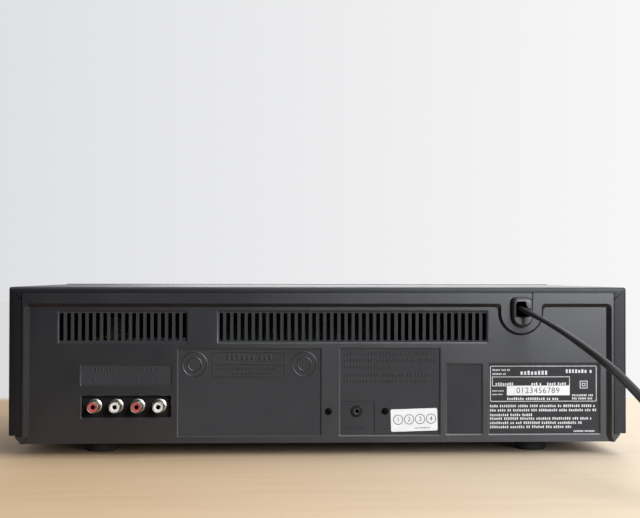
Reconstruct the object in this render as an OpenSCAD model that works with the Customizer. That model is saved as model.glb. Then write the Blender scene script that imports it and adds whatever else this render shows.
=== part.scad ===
// Full-width twin cassette deck of the tape-copying kind, in millimetres.
// Z is up from the table, the front faces -Y, the connector panel faces +Y.

/* [Case] */
// Width over the steel cover
body_w = 434; // [425:1:440]
// Height from the chassis floor to the top of the cover
body_h = 109.4; // [106:0.1:112]
// Length of the cover from fascia to connector panel
cover_d = 250; // [245:1:260]
// Height of the feet under the chassis
foot_h = 9.6; // [8:0.1:12]
// Diameter of a foot
foot_d = 25; // [20:1:30]
// Thickness of the sheet steel
sheet = 1; // [0.8:0.1:1.2]

/* [Connector panel] */
// Depth of the sunk field behind the panel's rim
field_sink = 3; // [2:0.1:3.2]
// Spacing of the ventilation slots
slot_pitch = 5.03; // [4.9:0.01:5.05]
// Width of one ventilation slot
slot_w = 2.8; // [2.4:0.1:3]
// Spacing of the four pin jacks
jack_pitch = 15; // [14:0.1:15]
// Outer diameter of a pin jack's shell
jack_d = 8.3; // [8:0.1:8.6]
// How far the pin jacks stand out behind the rim
jack_out = 6; // [5:0.1:8]

/* [Front] */
// Depth of the moulded fascia
fascia_d = 14; // [13.5:0.1:14.5]
// How far the record level knob stands out from the fascia
knob_out = 12; // [11:0.5:14]
// Distance of each cassette deck's centre from the middle
deck_x = 142; // [140:1:145]
// Width of a cassette door
door_w = 120.4; // [118:0.1:120.8]
// Travel of a transport key
key_travel = 1.5; // [1:0.1:1.6]
// Travel of the eject and power buttons
push_travel = 3; // [2:0.1:3]
// Lift of the head carriage
head_lift = 6.4; // [6:0.1:6.4]

/* [Mains lead] */
// Width of the flat twin lead
lead_d = 5.4; // [5:0.1:5.6]
// Mean diameter of the stored coil
coil_d = 63; // [61:1:65]

/* [Hidden] */
$fn = 48;
eps = 0.01;
half_w = body_w / 2;
z_floor = foot_h;
z_top = foot_h + body_h;
total_d = knob_out + fascia_d + cover_d + jack_out;
y_rear = total_d / 2 - jack_out;
y_cover = y_rear - cover_d;
y_front = y_cover - fascia_d;
y_knob = y_front - knob_out;
// The connector panel's field face, plate back and rim
plate_t = 2;
y_field = y_rear - field_sink;
y_panel = y_field - plate_t;
// Rim and field outlines, measured from the middle and from the table
flange_x = 208.1;
flange_z = 115.2;
rim_x = 207.8;
rim_top = 115;
skirt_z = 15.6;
wing_y = y_rear - 2.6;
chamfer_x = 208.3;
chamfer_z = 6;
shelf_x = 212.7;
// Sunk field at the rim's face and at its own floor: half width, top, corner radius, flare
field_edge = [206.4, 107.5, 3.4, 13.4];
field_foot = [203.2, 104.9, 0.4, 14.6];
flare = [1.6, 3.8];
// Sunk panels of the field: left, right, bottom, top
jack_text_box = [104.3, 167.6, 50.2, 64.8];
jack_window = [104.5, 167.3, 27.3, 43.3];
notice_box = [-0.4, 100.1, 14.5, 75.8];
remote_box = [-84.6, -13.5, 14.5, 75.9];
remote_step = [-38.2, -13.5, 14.5, 38.5];
blank_box = [-114.7, -88.9, 15, 64.8];
rating_box = [-198.7, -119.1, 15, 65.1];
vent_a = [93.5, 183.2, 79.7, 102.3];
vent_b = [-118.4, 72.3, 79.8, 102.3];
vent_a_slots = 18;
vent_b_slots = 38;
sunk = 0.6;
vent_sunk = 0.8;
slot_margin = 1.6;
// Pin jacks, remote jack and the two panel screws
jack_x = 135.6;
jack_z = 35.6;
jack_face = y_field - 4;
remote_x = -25.7;
screw_z = 31.6;
panel_screw_x = [-5.7, -45.8];
// Bush in its U-shaped boss
bush_x = -142;
bush_w = 14;
bush_z = [91, 111.4];
boss_r = 14.4;
boss_slope = 1.8;
boss_z = 101.1;
boss_fillet = 3;
bush_out = 5;
bush_mouth = [-147.3, -136.9, 97.4, 108.8];
tab_box = [-149.7, -134.4, 111.4, 115];
// Front plate and the openings in it
front_t = 3;
fascia_lip = 0.4;
wall_t = 3.5;
y_plate = y_front + front_t;
door_z = [41.5, 112.2];
door_gap = 0.6;
well_z = [38.2, 113];
display_w = 124;
display_z = [86, 108];
fit = 0.4;
// Cassette doors
hinge_y = y_front + 6.5;
hinge_z = 43;
door_t = 2.5;
window_w = 92;
window_z = [56, 104];
rail_x = 51.2;
rail_t = 2;
pocket_back = y_front + 16.4;
pin_r = 2;
pin_gap = 0.05;
arm_r = 3.5;
arm_x = [57, 59.6];
// Tape mechanisms
mech_y = y_front + 19;
mech_t = 2;
mech_z = [30, 112];
reel_x = 21.25;
reel_z = 80.5;
capstan_x = 30;
capstan_z = 54.5;
capstan_r = 1.25;
flywheel_r = 24;
motor_x = -24;
motor_z = 58;
motor_r = 15;
pulley_r = 4.5;
belt_y = [y_front + 25.6, y_front + 29.6];
bracket_y = y_front + 33;
// Controls: centre across, centre up, width, height
key_h = 9;
key_z = 24;
key_w_a = 25.5;
key_w_b = 20.5;
keys_a = ["rewind_a", "play_a", "forward_a", "stop_a"];
keys_b = ["rewind_b", "play_b", "forward_b", "stop_b", "record_b"];
dub_x = [8, 38];
dub_w = 26;
eject_x = 71.5;
eject_z = 97;
power_x = -50;
power_z = 64;
level_x = 38;
level_z = 58;
level_r = 17;
phones_x = -34;
phones_z = 24;
phones_r = 6.5;
socket_x = -60;
socket_r = 9.9;
y_socket = y_front + 36;
shaft_r = 3;
board_y = y_front + 15.6;
board_t = 1.6;
board_x = 76;
// Main board and transformer
main_box = [-70, 172, -50, 124];
main_z = 20;
core_box = [-182, -122, 42, 92];
foot_x = 157;
foot_y = [-86, 94];
case_screw_y = [-70, 100];
case_screw_z = 28;

// Route of the lead from the bush to its coil, and from the coil to the plug
lead_route = [
    [-141.5, 136, 103.5], [-142.5, 140, 103], [-145, 147, 101.5],
    [-148.5, 157, 98.8], [-152.5, 170, 95.5], [-156.5, 184, 91.8],
    [-160, 198, 88], [-163.3, 212, 84], [-166.3, 226, 80],
    [-169.2, 240, 75.9], [-171.8, 254, 71.6], [-174.3, 268, 66.9],
    [-176.7, 282, 61.7], [-179.2, 296, 55.9], [-181.9, 310, 49.4],
    [-184.9, 324, 42.1], [-188.6, 338, 34], [-193.4, 351.5, 25.4],
    [-199.8, 364, 17.4], [-208.4, 375.4, 10.9], [-219.2, 385.2, 6.3],
    [-231, 392.3, 3.9], [-242.8, 396, 3.1], [-254, 396.95, 2.9]
];
tail_route = [
    [-294.95, 356, 8.3], [-294.95, 346, 7.9], [-294.8, 336, 7.1],
    [-294.6, 326, 6.4], [-294.4, 316, 6.3], [-294.4, 306, 6.9],
    [-294.4, 296, 6.9]
];
// The coil: turns that lie side by side, in two layers
coil_at = [-254, 356];
coil_columns = 4.5;
coil_layers = 2;
coil_rise = 0.2;
plug_z = 6.9;
plug_w = 35.3;
plug_t = 13.4;
plug_len = 36;
relief_len = 22;
pin_len = 19;
pin_pitch = 18.6;

// ---- Shared shapes ----

// A block between two corners
module block(x, y, z)
    translate([x[0], y[0], z[0]]) cube([x[1] - x[0], y[1] - y[0], z[1] - z[0]]);

// A block over a [left, right, bottom, top] box of the panel
module on_panel(b, y) block([b[0], b[1]], y, [b[2], b[3]]);

// A round bar along Y
module bar_y(x, z, r, y)
    translate([x, y[0], z]) rotate([-90, 0, 0]) cylinder(r = r, h = y[1] - y[0]);

// A round bar along X
module bar_x(y, z, r, x)
    translate([x[0], y, z]) rotate([0, 90, 0]) cylinder(r = r, h = x[1] - x[0]);

// A flat outline in X and Z, given depth along Y
module slab_y(y) translate([0, y[1], 0]) rotate([90, 0, 0])
    linear_extrude(y[1] - y[0]) children();

module both_sides() { children(); mirror([1, 0, 0]) children(); }

// A pan-headed screw along Y, its head's underside at y0, pointing to -Y
module screw_y(x, z, y0, head_r, shank_r, len) {
    bar_y(x, z, head_r, [y0, y0 + 1.6]);
    bar_y(x, z, shank_r, [y0 - len, y0 + eps]);
}

// ---- Case ----

module pan_profile(inset) polygon([
    [0, z_floor + inset], [chamfer_x - inset / 2, z_floor + inset],
    [shelf_x, z_floor + chamfer_z + inset],
    [half_w - 1.6 - inset, z_floor + chamfer_z + inset],
    [half_w - 1.6 - inset, 40], [0, 40]
]);

module chassis_pan() color("#3a3b3d") difference() {
    both_sides() slab_y([y_cover, y_panel]) pan_profile(0);
    both_sides() slab_y([y_cover - 1, y_panel + 1]) pan_profile(sheet);
    block([-half_w, half_w], [y_cover - 1, y_panel + 1], [39.9, 41]);
    both_sides() for (y = case_screw_y)
        bar_x(y, case_screw_z, 2, [half_w - 4, half_w]);
    block([-half_w + 40, half_w - 40], [y_cover - 1, y_cover + 3], [z_floor - 1, z_floor + 2]);
}

module top_cover() color("#1b1b1c") difference() {
    block([-half_w, half_w], [y_cover, y_rear], [skirt_z, z_top]);
    block([-half_w + sheet, half_w - sheet], [y_cover - 1, y_rear - sheet],
          [skirt_z - 1, z_top - sheet]);
    block([-flange_x, flange_x], [y_rear - 2, y_rear + 1], [skirt_z - 1, flange_z]);
    // mitred seam between the top and side flanges
    both_sides() translate([half_w - 0.9, y_rear - sheet - 1, z_top - 0.9])
        rotate([0, 135 + 0.5, 0]) translate([0, 0, -0.15]) cube([13, sheet + 2, 0.3]);
    both_sides() for (y = case_screw_y)
        bar_x(y, case_screw_z, 2.2, [half_w - 3, half_w + 1]);
}

module panel_outline() polygon([
    [-chamfer_x, z_floor], [chamfer_x, z_floor], [shelf_x, skirt_z - 0.5],
    [rim_x, skirt_z - 0.5], [rim_x, rim_top], [-rim_x, rim_top],
    [-rim_x, skirt_z - 0.5], [-shelf_x, skirt_z - 0.5]
]);

// A solid between two outlines in X and Z with the same count of corners
module loft_y(y, lower, upper) {
    n = len(lower);
    points = concat([for (p = lower) [p[0], y[0], p[1]]], [for (p = upper) [p[0], y[1], p[1]]]);
    walls = [for (k = [0 : n - 1]) [k, (k + 1) % n, n + (k + 1) % n, n + k]];
    polyhedron(points = points, faces = concat(
        [[for (k = [n - 1 : -1 : 0]) k]], walls, [[for (k = [0 : n - 1]) n + k]]));
}

// Values part of the way up from the field's floor (0) to the rim's face (1)
function rise(floor_level, face_level, t) =
    [for (i = [0 : len(floor_level) - 1]) floor_level[i] + (face_level[i] - floor_level[i]) * t];
function level(y) = (y - y_field) / field_sink;

// Half of the sunk field's outline, from its open foot up to the rounded corner
function field_half(f) = concat(
    [[f[0] + flare[0] * (f[3] - z_floor + 1) / flare[1], z_floor - 1], [f[0], f[3]]],
    [for (a = [0 : 15 : 90]) [f[0] - f[2] + f[2] * cos(a), f[1] - f[2] + f[2] * sin(a)]]);
function mirrored(half) = concat(half,
    [for (i = [len(half) - 1 : -1 : 0]) [-half[i][0], half[i][1]]]);

// The sunk field: sloping walls at the sides and top, open at the foot
module field_recess() loft_y([y_field, y_rear + 1], mirrored(field_half(field_foot)),
    mirrored(field_half(rise(field_foot, field_edge, level(y_rear + 1)))));

// Half of the boss's outline: fillet, straight flank and a quarter of its round foot
function boss_half(r, top) = concat([[r + boss_fillet, top + 4]],
    [for (a = [90 : 15 : 180])
        [r + boss_fillet * (1 + cos(a)), top + 0.3 - boss_fillet * (1 - sin(a))]],
    [for (a = [0 : -7.5 : -82.5]) [r * cos(a), boss_z + r * sin(a)]]);
function boss_outline(b) = let (half = boss_half(b[0], b[1])) [
    for (p = concat(half, [[0, boss_z - b[0]]],
        [for (i = [len(half) - 1 : -1 : 0]) [-half[i][0], half[i][1]]]))
    [bush_x - p[0], p[1]]];

// The raised boss round the lead's bush, its flanks sloping out to the field
module bush_boss() {
    foot = [boss_r + boss_slope, field_foot[1]];
    face = [boss_r, field_edge[1]];
    loft_y([y_field - 1, y_rear + 2], boss_outline(rise(foot, face, level(y_field - 1))),
           boss_outline(rise(foot, face, level(y_rear + 2))));
}

// A sunk grille with upright slots
module vent(b, count) {
    on_panel(b, [y_field - vent_sunk, y_field + 1]);
    first = (b[0] + b[1]) / 2 - (count - 1) * slot_pitch / 2;
    for (i = [0 : count - 1])
        block([first + i * slot_pitch - slot_w / 2, first + i * slot_pitch + slot_w / 2],
              [y_panel - 1, y_field + 1], [b[2] + slot_margin, b[3] - slot_margin]);
}

module rear_panel() color("#1d1d1e") difference() {
    union() {
        slab_y([y_panel, y_rear]) panel_outline();
        // hidden wings behind the cover's flanges
        for (w = [[shelf_x - 0.3, skirt_z - 0.5], [half_w - 1.4, skirt_z + 0.1]])
            block([-w[0], w[0]], [y_panel, wing_y], [w[1], z_top - sheet - 0.2]);
    }
    difference() { field_recess(); bush_boss(); }
    vent(vent_a, vent_a_slots);
    vent(vent_b, vent_b_slots);
    for (b = [jack_text_box, notice_box, remote_box, blank_box, rating_box])
        on_panel(b, [y_field - sunk, y_field + 1]);
    on_panel(remote_step, [y_field - 2 * sunk, y_field + 1]);
    on_panel(jack_window, [y_panel - 1, y_field + 1]);
    bar_y(remote_x, screw_z, 3.5, [y_panel - 1, y_field + 1]);
    for (x = panel_screw_x) bar_y(x, screw_z, 1.7, [y_panel - 1, y_field + 1]);
    block([bush_x - 6.4, bush_x + 6.4], [y_panel - 1, y_rear + 1], [95, 110]);
    on_panel(tab_box, [y_rear - sunk, y_rear + 1]);
    block([tab_box[0] - 0.6, tab_box[0]], [y_rear - 3, y_rear + 1], [tab_box[2] - 5, rim_top + 1]);
}

module foot_outline() polygon([
    [0, 0], [foot_d / 2 - 2, 0], [foot_d / 2 - 1, 1], [foot_d / 2, foot_h - 2],
    [foot_d / 2, foot_h], [0, foot_h]
]);

module feet() color("#141415")
    for (x = [-foot_x, foot_x], y = foot_y)
        translate([x, y, 0]) rotate_extrude() foot_outline();

module case_screws() color("#101011") {
    both_sides() for (y = case_screw_y) {
        bar_x(y, case_screw_z, 4, [half_w, half_w + 1.6]);
        bar_x(y, case_screw_z, 1.9, [half_w - 6, half_w + eps]);
    }
    for (x = panel_screw_x) {
        sunk_by = x < remote_box[1] ? sunk : 0;
        screw_y(x, screw_z, y_field - sunk_by, 2.4, 1.6, 7);
    }
}

// ---- Connectors and lead ----

module bush_outline(grow) {
    translate([bush_x - bush_w / 2 - grow, bush_z[0] + 5])
        square([bush_w + 2 * grow, bush_z[1] - bush_z[0] - 9]);
    translate([bush_x - bush_w / 2 + 4, bush_z[0] + 3]) square([bush_w - 8, bush_z[1] - bush_z[0] - 3]);
    for (s = [-1, 1]) translate([bush_x + s * (bush_w / 2 - 4), bush_z[1] - 4]) circle(4 + grow);
    polygon([
        [bush_x - bush_w / 2 - grow, bush_z[0] + 5], [bush_x + bush_w / 2 + grow, bush_z[0] + 5],
        [bush_x + 3.5, bush_z[0] + 0.6], [bush_x, bush_z[0] - 0.6], [bush_x - 3.5, bush_z[0] + 0.6]
    ]);
}

module cord_bush() color("#2a2a2b") difference() {
    union() {
        slab_y([y_rear, y_rear + bush_out]) bush_outline(0);
        block([bush_x - 6.2, bush_x + 6.2], [y_panel - 3, y_rear + eps], [95.2, 109.8]);
    }
    on_panel(bush_mouth, [y_rear + 1, y_rear + bush_out + 1]);
    // the split of the clamp below the mouth
    block([bush_x - 0.2, bush_x + 0.2], [y_rear + bush_out - 1.5, y_rear + bush_out + 1],
          [bush_z[0] - 1, bush_mouth[2] + 1]);
}

function unit(v) = v / norm(v);
function along(p, i) =
    unit(p[min(i + 1, len(p) - 1)] - p[max(i - 1, 0)]);
function ring(p, i, r, sides, start) =
    let (t = i == 0 && start ? [0, 1, 0] : along(p, i),
         u = unit(cross([0, 0, 1], t)), v = cross(t, u))
    [for (k = [0 : sides - 1])
        p[i] + r * (cos(360 * k / sides) * u + sin(360 * k / sides) * v)];

// A tube swept along its own route points
module tube(p, r, sides, start) {
    n = len(p);
    points = [for (i = [0 : n - 1]) each ring(p, i, r, sides, start)];
    sides_quads = [for (i = [0 : n - 2], k = [0 : sides - 1])
        let (k2 = (k + 1) % sides)
        [i * sides + k, (i + 1) * sides + k, (i + 1) * sides + k2, i * sides + k2]];
    first = [for (k = [0 : sides - 1]) k];
    last = [for (k = [sides - 1 : -1 : 0]) (n - 1) * sides + k];
    polyhedron(points = points, faces = concat([first], sides_quads, [last]));
}

module mains_cord() color("#202021") {
    tube(lead_route, lead_d / 2, 8, true);
    tube(tail_route, lead_d / 2, 8, false);
}

module mains_cord_coil() color("#202021")
    translate([coil_at[0], coil_at[1], coil_rise]) rotate_extrude() {
        wide = coil_columns * lead_d;
        tall = coil_layers * lead_d;
        polygon([
            [coil_d / 2 - wide / 2, 1.5], [coil_d / 2 - wide / 2 + 1.5, 0],
            [coil_d / 2 + wide / 2 - 1.5, 0], [coil_d / 2 + wide / 2, 1.5],
            [coil_d / 2 + wide / 2, tall - 1.5], [coil_d / 2 + wide / 2 - 1.5, tall],
            [coil_d / 2 - wide / 2 + 1.5, tall], [coil_d / 2 - wide / 2, tall - 1.5]
        ]);
    }

// The plug points to -Y and lies flat beside the coil
tail_end = tail_route[len(tail_route) - 1];
module plug_outline() {
    y0 = tail_end[1] - relief_len;
    x0 = tail_end[0];
    polygon([
        [x0 - 4, y0 + relief_len], [x0 + 4, y0 + relief_len], [x0 + 6, y0],
        [x0 + plug_w / 2 - 3, y0 - 11], [x0 + plug_w / 2, y0 - 17],
        [x0 + plug_w / 2, y0 - plug_len + 3], [x0 + plug_w / 2 - 3, y0 - plug_len],
        [x0 - plug_w / 2 + 3, y0 - plug_len], [x0 - plug_w / 2, y0 - plug_len + 3],
        [x0 - plug_w / 2, y0 - 17], [x0 - plug_w / 2 + 3, y0 - 11], [x0 - 6, y0]
    ]);
}

module mains_plug() color("#202021") difference() {
    intersection() {
        translate([0, 0, plug_z - plug_t / 2]) linear_extrude(plug_t) plug_outline();
        // thinner towards the lead
        translate([-half_w - 200, 0, 0]) rotate([90, 0, 90]) linear_extrude(300) polygon([
            [tail_end[1] + 1, plug_z - 4], [tail_end[1] + 1, plug_z + 4],
            [tail_end[1] - relief_len, plug_z + 5.4],
            [tail_end[1] - relief_len - 8, plug_z + plug_t / 2],
            [tail_end[1] - relief_len - plug_len - 1, plug_z + plug_t / 2],
            [tail_end[1] - relief_len - plug_len - 1, plug_z - plug_t / 2],
            [tail_end[1] - relief_len - 8, plug_z - plug_t / 2],
            [tail_end[1] - relief_len, plug_z - 5.4]
        ]);
    }
    for (s = [-1, 1]) plug_pin(s, 2.05, 8);
}

module plug_pin(s, r, sunk_in) {
    y0 = tail_end[1] - relief_len - plug_len;
    bar_y(tail_end[0] + s * pin_pitch / 2, plug_z, r, [y0 - pin_len, y0 + sunk_in]);
}

module plug_pins() color("#c8b070") for (s = [-1, 1]) plug_pin(s, 2, 8);

module jacks() for (i = [0 : 3]) translate([jack_x + (i - 1.5) * jack_pitch, 0, jack_z])
    children();

module jack_block() color("#111112") difference() {
    union() {
        block([105, 166.8], [jack_face - 12, jack_face], [27.6, 43]);
        block([108, 164], [jack_face - 12, jack_face - 4], [main_z + 1.6, 27.7]);
    }
    jacks() bar_y(0, 0, jack_d / 2 + 0.05, [jack_face - 3, jack_face + 1]);
}

module jack_shells() color("#d8d4c8") jacks() difference() {
    bar_y(0, 0, jack_d / 2, [jack_face - 3, y_rear + jack_out]);
    bar_y(0, 0, jack_d / 2 - 0.85, [jack_face - 2, y_rear + jack_out + 1]);
}

module jack_insert() difference() {
    bar_y(0, 0, jack_d / 2 - 0.9, [jack_face - 2, y_rear + jack_out - 0.5]);
    bar_y(0, 0, 1.6, [jack_face + 1, y_rear + jack_out]);
    bar_y(0, 0, 2.3, [y_rear + jack_out - 1.2, y_rear + jack_out]);
}

module jack_inserts(first) for (i = [first, first + 2])
    translate([jack_x + (1.5 - i) * jack_pitch, 0, jack_z]) jack_insert();

module jack_inserts_red() color("#c03038") jack_inserts(0);
module jack_inserts_white() color("#ecebe6") jack_inserts(1);

module remote_jack() color("#161617") difference() {
    union() {
        block([remote_x - 6, remote_x + 6], [y_panel - 13, y_panel], [screw_z - 5, screw_z + 5]);
        block([remote_x - 6, remote_x + 6], [y_panel - 13, y_panel - 7],
              [main_z + 1.6, screw_z - 4.9]);
        bar_y(remote_x, screw_z, 3.4, [y_panel - eps, y_field + 0.4]);
    }
    bar_y(remote_x, screw_z, 1.8, [y_panel - 11, y_field + 1]);
}

// ---- Fascia, boards and transformer ----

function key_x_a(i) = -deck_x + (i - 1.5) * 28;
function key_x_b(i) = deck_x + (i - 2) * 23;

module key_hole(x, z, w, h)
    block([x - w / 2 - fit, x + w / 2 + fit], [y_front - 1, y_plate + 1],
          [z - h / 2 - fit, z + h / 2 + fit]);

module front_fascia() color("#1a1a1b") {
    difference() {
        block([-half_w, half_w], [y_front, y_cover], [z_floor, z_top + fascia_lip]);
        block([-half_w + wall_t, half_w - wall_t], [y_plate, y_cover + 1],
              [z_floor + wall_t, z_top - front_t]);
        for (s = [-1, 1])
            block([s * deck_x - door_w / 2 - door_gap, s * deck_x + door_w / 2 + door_gap],
                  [y_front - 1, y_plate + 1], well_z);
        block([-display_w / 2, display_w / 2], [y_front - 1, y_plate + 1], display_z);
        for (i = [0 : 3]) key_hole(key_x_a(i), key_z, key_w_a, key_h);
        for (i = [0 : 4]) key_hole(key_x_b(i), key_z, key_w_b, key_h);
        for (x = dub_x) key_hole(x, key_z, dub_w, key_h);
        for (s = [-1, 1]) key_hole(s * eject_x, eject_z, 12, 8);
        key_hole(power_x, power_z, 24, 11);
        bar_y(level_x, level_z, shaft_r + 0.6, [y_front - 1, y_plate + 1]);
        bar_y(phones_x, phones_z, shaft_r + 0.6, [y_front - 1, y_plate + 1]);
        bar_y(socket_x, phones_z, socket_r + 0.1, [y_front - 1, y_plate + 1]);
    }
    // posts that carry the control board
    for (x = [-207, -80, 80, 207]) bar_y(x, 20, 2.4, [y_plate - eps, board_y]);
    for (s = [-1, 1]) bar_y(s * 58, 44, 2.4, [y_plate - eps, board_y]);
}

module display_window() color("#20262a") union() {
    block([-display_w / 2 + 0.3, display_w / 2 - 0.3], [y_front + 0.4, y_plate + eps],
          [display_z[0] + 0.3, display_z[1] - 0.3]);
    block([-display_w / 2 - 2, display_w / 2 + 2], [y_plate, y_plate + 1.2],
          [display_z[0] - 1.5, display_z[1] + 1.5]);
}

module display_module() color("#3c5a58") {
    block([-55, 55], [y_front + 7.6, y_front + 12], [88, 107]);
    block([-56, 56], [y_front + 12 - eps, board_y], [87, 108]);
    for (s = [-1, 1]) bar_y(s * 53, 97.5, 1.6, [y_front + 6.6, y_front + 8]);
}

// Two boards: one behind deck A's keys, the other behind the rest, clear of the socket
module control_board() color("#2f5d3a") {
    low = [z_floor + wall_t + 0.3, 29];
    block([-208, -board_x], [board_y, board_y + board_t], low);
    block([socket_x + 16, 208], [board_y, board_y + board_t], low);
    block([socket_x + 16, board_x], [board_y, board_y + board_t], [29 - eps, 40]);
    block([-board_x, board_x], [board_y, board_y + board_t], [40 - eps, 112]);
}

// A push switch on the control board behind a key
module switch_for(x, z) block([x - 3.5, x + 3.5], [board_y - 2, board_y], [z - 3, z + 3]);

// A rotary control's body on the board, bored for the knob's shaft
module rotary_body(x, z, r) difference() {
    bar_y(x, z, r, [board_y - 5, board_y]);
    bar_y(x, z, shaft_r + pin_gap, [board_y - 6, board_y - 0.4]);
}

module panel_switches() color("#3a3a3c") {
    for (i = [0 : 3]) switch_for(key_x_a(i), key_z);
    for (i = [0 : 4]) switch_for(key_x_b(i), key_z);
    for (x = dub_x) switch_for(x, key_z);
    for (s = [-1, 1]) switch_for(s * eject_x, eject_z);
    switch_for(power_x, power_z);
    rotary_body(level_x, level_z, 9);
    rotary_body(phones_x, phones_z, 5.5);
}

// The socket goes in from behind: its neck shows round the bore as a bezel
module headphone_socket() color("#18181a") difference() {
    union() {
        bar_y(socket_x, phones_z, socket_r, [y_front - 1.8, y_plate + eps]);
        block([socket_x - 11, socket_x + 11], [y_plate, y_plate + 2], [13.6, 35]);
        block([socket_x - 7, socket_x + 7], [y_plate + 2 - eps, y_socket],
              [phones_z - 7, phones_z + 7]);
    }
    bar_y(socket_x, phones_z, 3.25, [y_front - 3, y_socket - 2]);
}

module main_board() color("#7c6a3a") {
    block([main_box[0], main_box[1]], [main_box[2], main_box[3]], [main_z, main_z + board_t]);
    // stand-offs to the chassis floor
    for (x = [-64, 52, 166], y = [-44, 40, 118])
        translate([x, y, z_floor + sheet]) cylinder(r = 3, h = main_z - z_floor - sheet + eps);
    // reservoir capacitors, heat sink, processor and filter cans
    for (i = [0 : 3]) translate([-50 + i * 20, 20, main_z + board_t - eps])
        cylinder(r = 8 - i, h = 30 - 3 * i);
    for (i = [0 : 6])
        block([-56 + i * 5, -54 + i * 5], [50, 74], [main_z + board_t - eps, main_z + 26]);
    block([-56, -24], [60, 63], [main_z + board_t - eps, main_z + 24]);
    block([40, 76], [-10, 12], [main_z + board_t - eps, main_z + 5]);
    block([104, 128], [-20, -10], [main_z + board_t - eps, main_z + 5]);
    for (i = [0 : 5])
        block([34 + i * 18, 44 + i * 18], [70, 80], [main_z + board_t - eps, main_z + 13]);
    for (i = [0 : 7]) translate([30 + i * 15, 34, main_z + board_t - eps])
        cylinder(r = 3.2, h = 11);
}

module power_transformer() color("#55504a") {
    x = [core_box[0], core_box[1]];
    y = [core_box[2], core_box[3]];
    base = z_floor + sheet;
    block(x, [y[0] + 8, y[1] - 8], [base + 4, base + 52]);
    block([x[0] + 10, x[1] - 10], y, [base + 14, base + 42]);
    block([x[0] - 8, x[1] + 8], [y[0] + 16, y[1] - 16], [base, base + 4 + eps]);
}

// ---- Tape mechanisms: each is drawn round its own deck's centre ----

module at_deck(s) translate([s * deck_x, 0, 0]) children();

module deck_frame(s) color("#6f7276") at_deck(s) difference() {
    union() {
        block([-arm_x[1], arm_x[1]], [mech_y, mech_y + mech_t], mech_z);
        for (m = [-1, 1]) {
            block([m < 0 ? -arm_x[1] : arm_x[0], m < 0 ? -arm_x[0] : arm_x[1]],
                  [hinge_y, mech_y + eps], [hinge_z - arm_r, hinge_z + arm_r]);
            bar_x(hinge_y, hinge_z, arm_r, [m < 0 ? -arm_x[1] : arm_x[0],
                                            m < 0 ? -arm_x[0] : arm_x[1]]);
            block([m < 0 ? -58 : 50, m < 0 ? -50 : 58], [mech_y, mech_y + mech_t],
                  [z_floor + sheet, mech_z[0] + eps]);
            // reel posts and carriage guide pins
            bar_y(m * reel_x, reel_z, 1.2, [mech_y - 9.8, mech_y + eps]);
            bar_y(m * 20, 40, 1.5, [mech_y - 4.2, mech_y + eps]);
        }
        bar_y(capstan_x, capstan_z, 4, [mech_y - 1, mech_y + 5]);
    }
    for (m = [-1, 1]) bar_x(hinge_y, hinge_z, pin_r + pin_gap, [m * 58.3 - 3, m * 58.3 + 3]);
    bar_y(capstan_x, capstan_z, capstan_r + pin_gap, [mech_y - 2, mech_y + 6]);
}

// Carries the motor and the thrust bearing of the flywheel
module motor_bracket(s) at_deck(s) difference() {
    union() {
        block([-44, capstan_x + 6], [bracket_y, bracket_y + sheet], [44, 72]);
        block([capstan_x - 6, capstan_x + 6], [bracket_y, bracket_y + sheet], [72 - eps, 90]);
        for (p = [[-40, 48], [-40, 68], [capstan_x, 86]])
            bar_y(p[0], p[1], 3, [mech_y + mech_t, bracket_y + eps]);
    }
    bar_y(motor_x, motor_z, 3.2, [bracket_y - 1, bracket_y + 2]);
}

module motor_brackets() color("#9a9c9e") for (s = [-1, 1]) motor_bracket(s);

module belt_loop(grow) hull() {
    translate([capstan_x, capstan_z]) circle(flywheel_r + grow, $fn = 96);
    translate([motor_x, motor_z]) circle(pulley_r + grow, $fn = 32);
}

module drive_belts() color("#161616") for (s = [-1, 1]) at_deck(s)
    slab_y(belt_y) difference() { belt_loop(1.1); belt_loop(0.3); }

module door(s) color("#1c1c1d") at_deck(s) {
    plate = [y_front, y_front + door_t];
    difference() {
        block([-door_w / 2, door_w / 2], plate, door_z);
        block([-window_w / 2, window_w / 2], [y_front - 1, plate[1] + 1], window_z);
    }
    for (m = [-1, 1]) {
        rail = m < 0 ? [-rail_x - rail_t, -rail_x] : [rail_x, rail_x + rail_t];
        shelf = m < 0 ? [-rail_x - rail_t, -40] : [40, rail_x + rail_t];
        lip = m < 0 ? [-rail_x - rail_t, -rail_x + 3] : [rail_x - 3, rail_x + rail_t];
        cheek = m < 0 ? [-56.5, -rail_x - rail_t + eps] : [rail_x + rail_t - eps, 56.5];
        block(rail, [plate[1] - eps, pocket_back], [44, 110]);
        block(shelf, [plate[1] - eps, pocket_back + eps], [44, 46]);
        block(lip, [pocket_back, pocket_back + sheet], [44, 110]);
        block(cheek, [plate[1] - eps, hinge_y + 3.4], [hinge_z - 1.5, 50]);
        bar_x(hinge_y, hinge_z, 3, cheek);
        bar_x(hinge_y, hinge_z, pin_r, m < 0 ? [-59.4, -56.4] : [56.4, 59.4]);
    }
}

module door_window(s) color("#2b2f33") at_deck(s) union() {
    block([-window_w / 2 + 0.2, window_w / 2 - 0.2], [y_front + 0.3, y_front + door_t + eps],
          [window_z[0] + 0.2, window_z[1] - 0.2]);
    block([-window_w / 2 - 3, window_w / 2 + 3], [y_front + door_t, y_front + door_t + 1],
          [window_z[0] - 3, window_z[1] + 3]);
}

// A reel drive: flange behind the cassette, splined hub inside it
module reel(s, m) color("#e6e4de") at_deck(s) translate([m * reel_x, 0, reel_z]) difference() {
    union() {
        bar_y(0, 0, 11, [mech_y - 2.4, mech_y - 0.6]);
        bar_y(0, 0, 4.2, [mech_y - 11, mech_y - 2.3]);
        for (a = [0 : 120 : 240]) rotate([0, a, 0])
            block([3, 5.2], [mech_y - 10, mech_y - 2.3], [-0.7, 0.7]);
    }
    bar_y(0, 0, 1.2 + pin_gap, [mech_y - 10.2, mech_y]);
}

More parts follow.
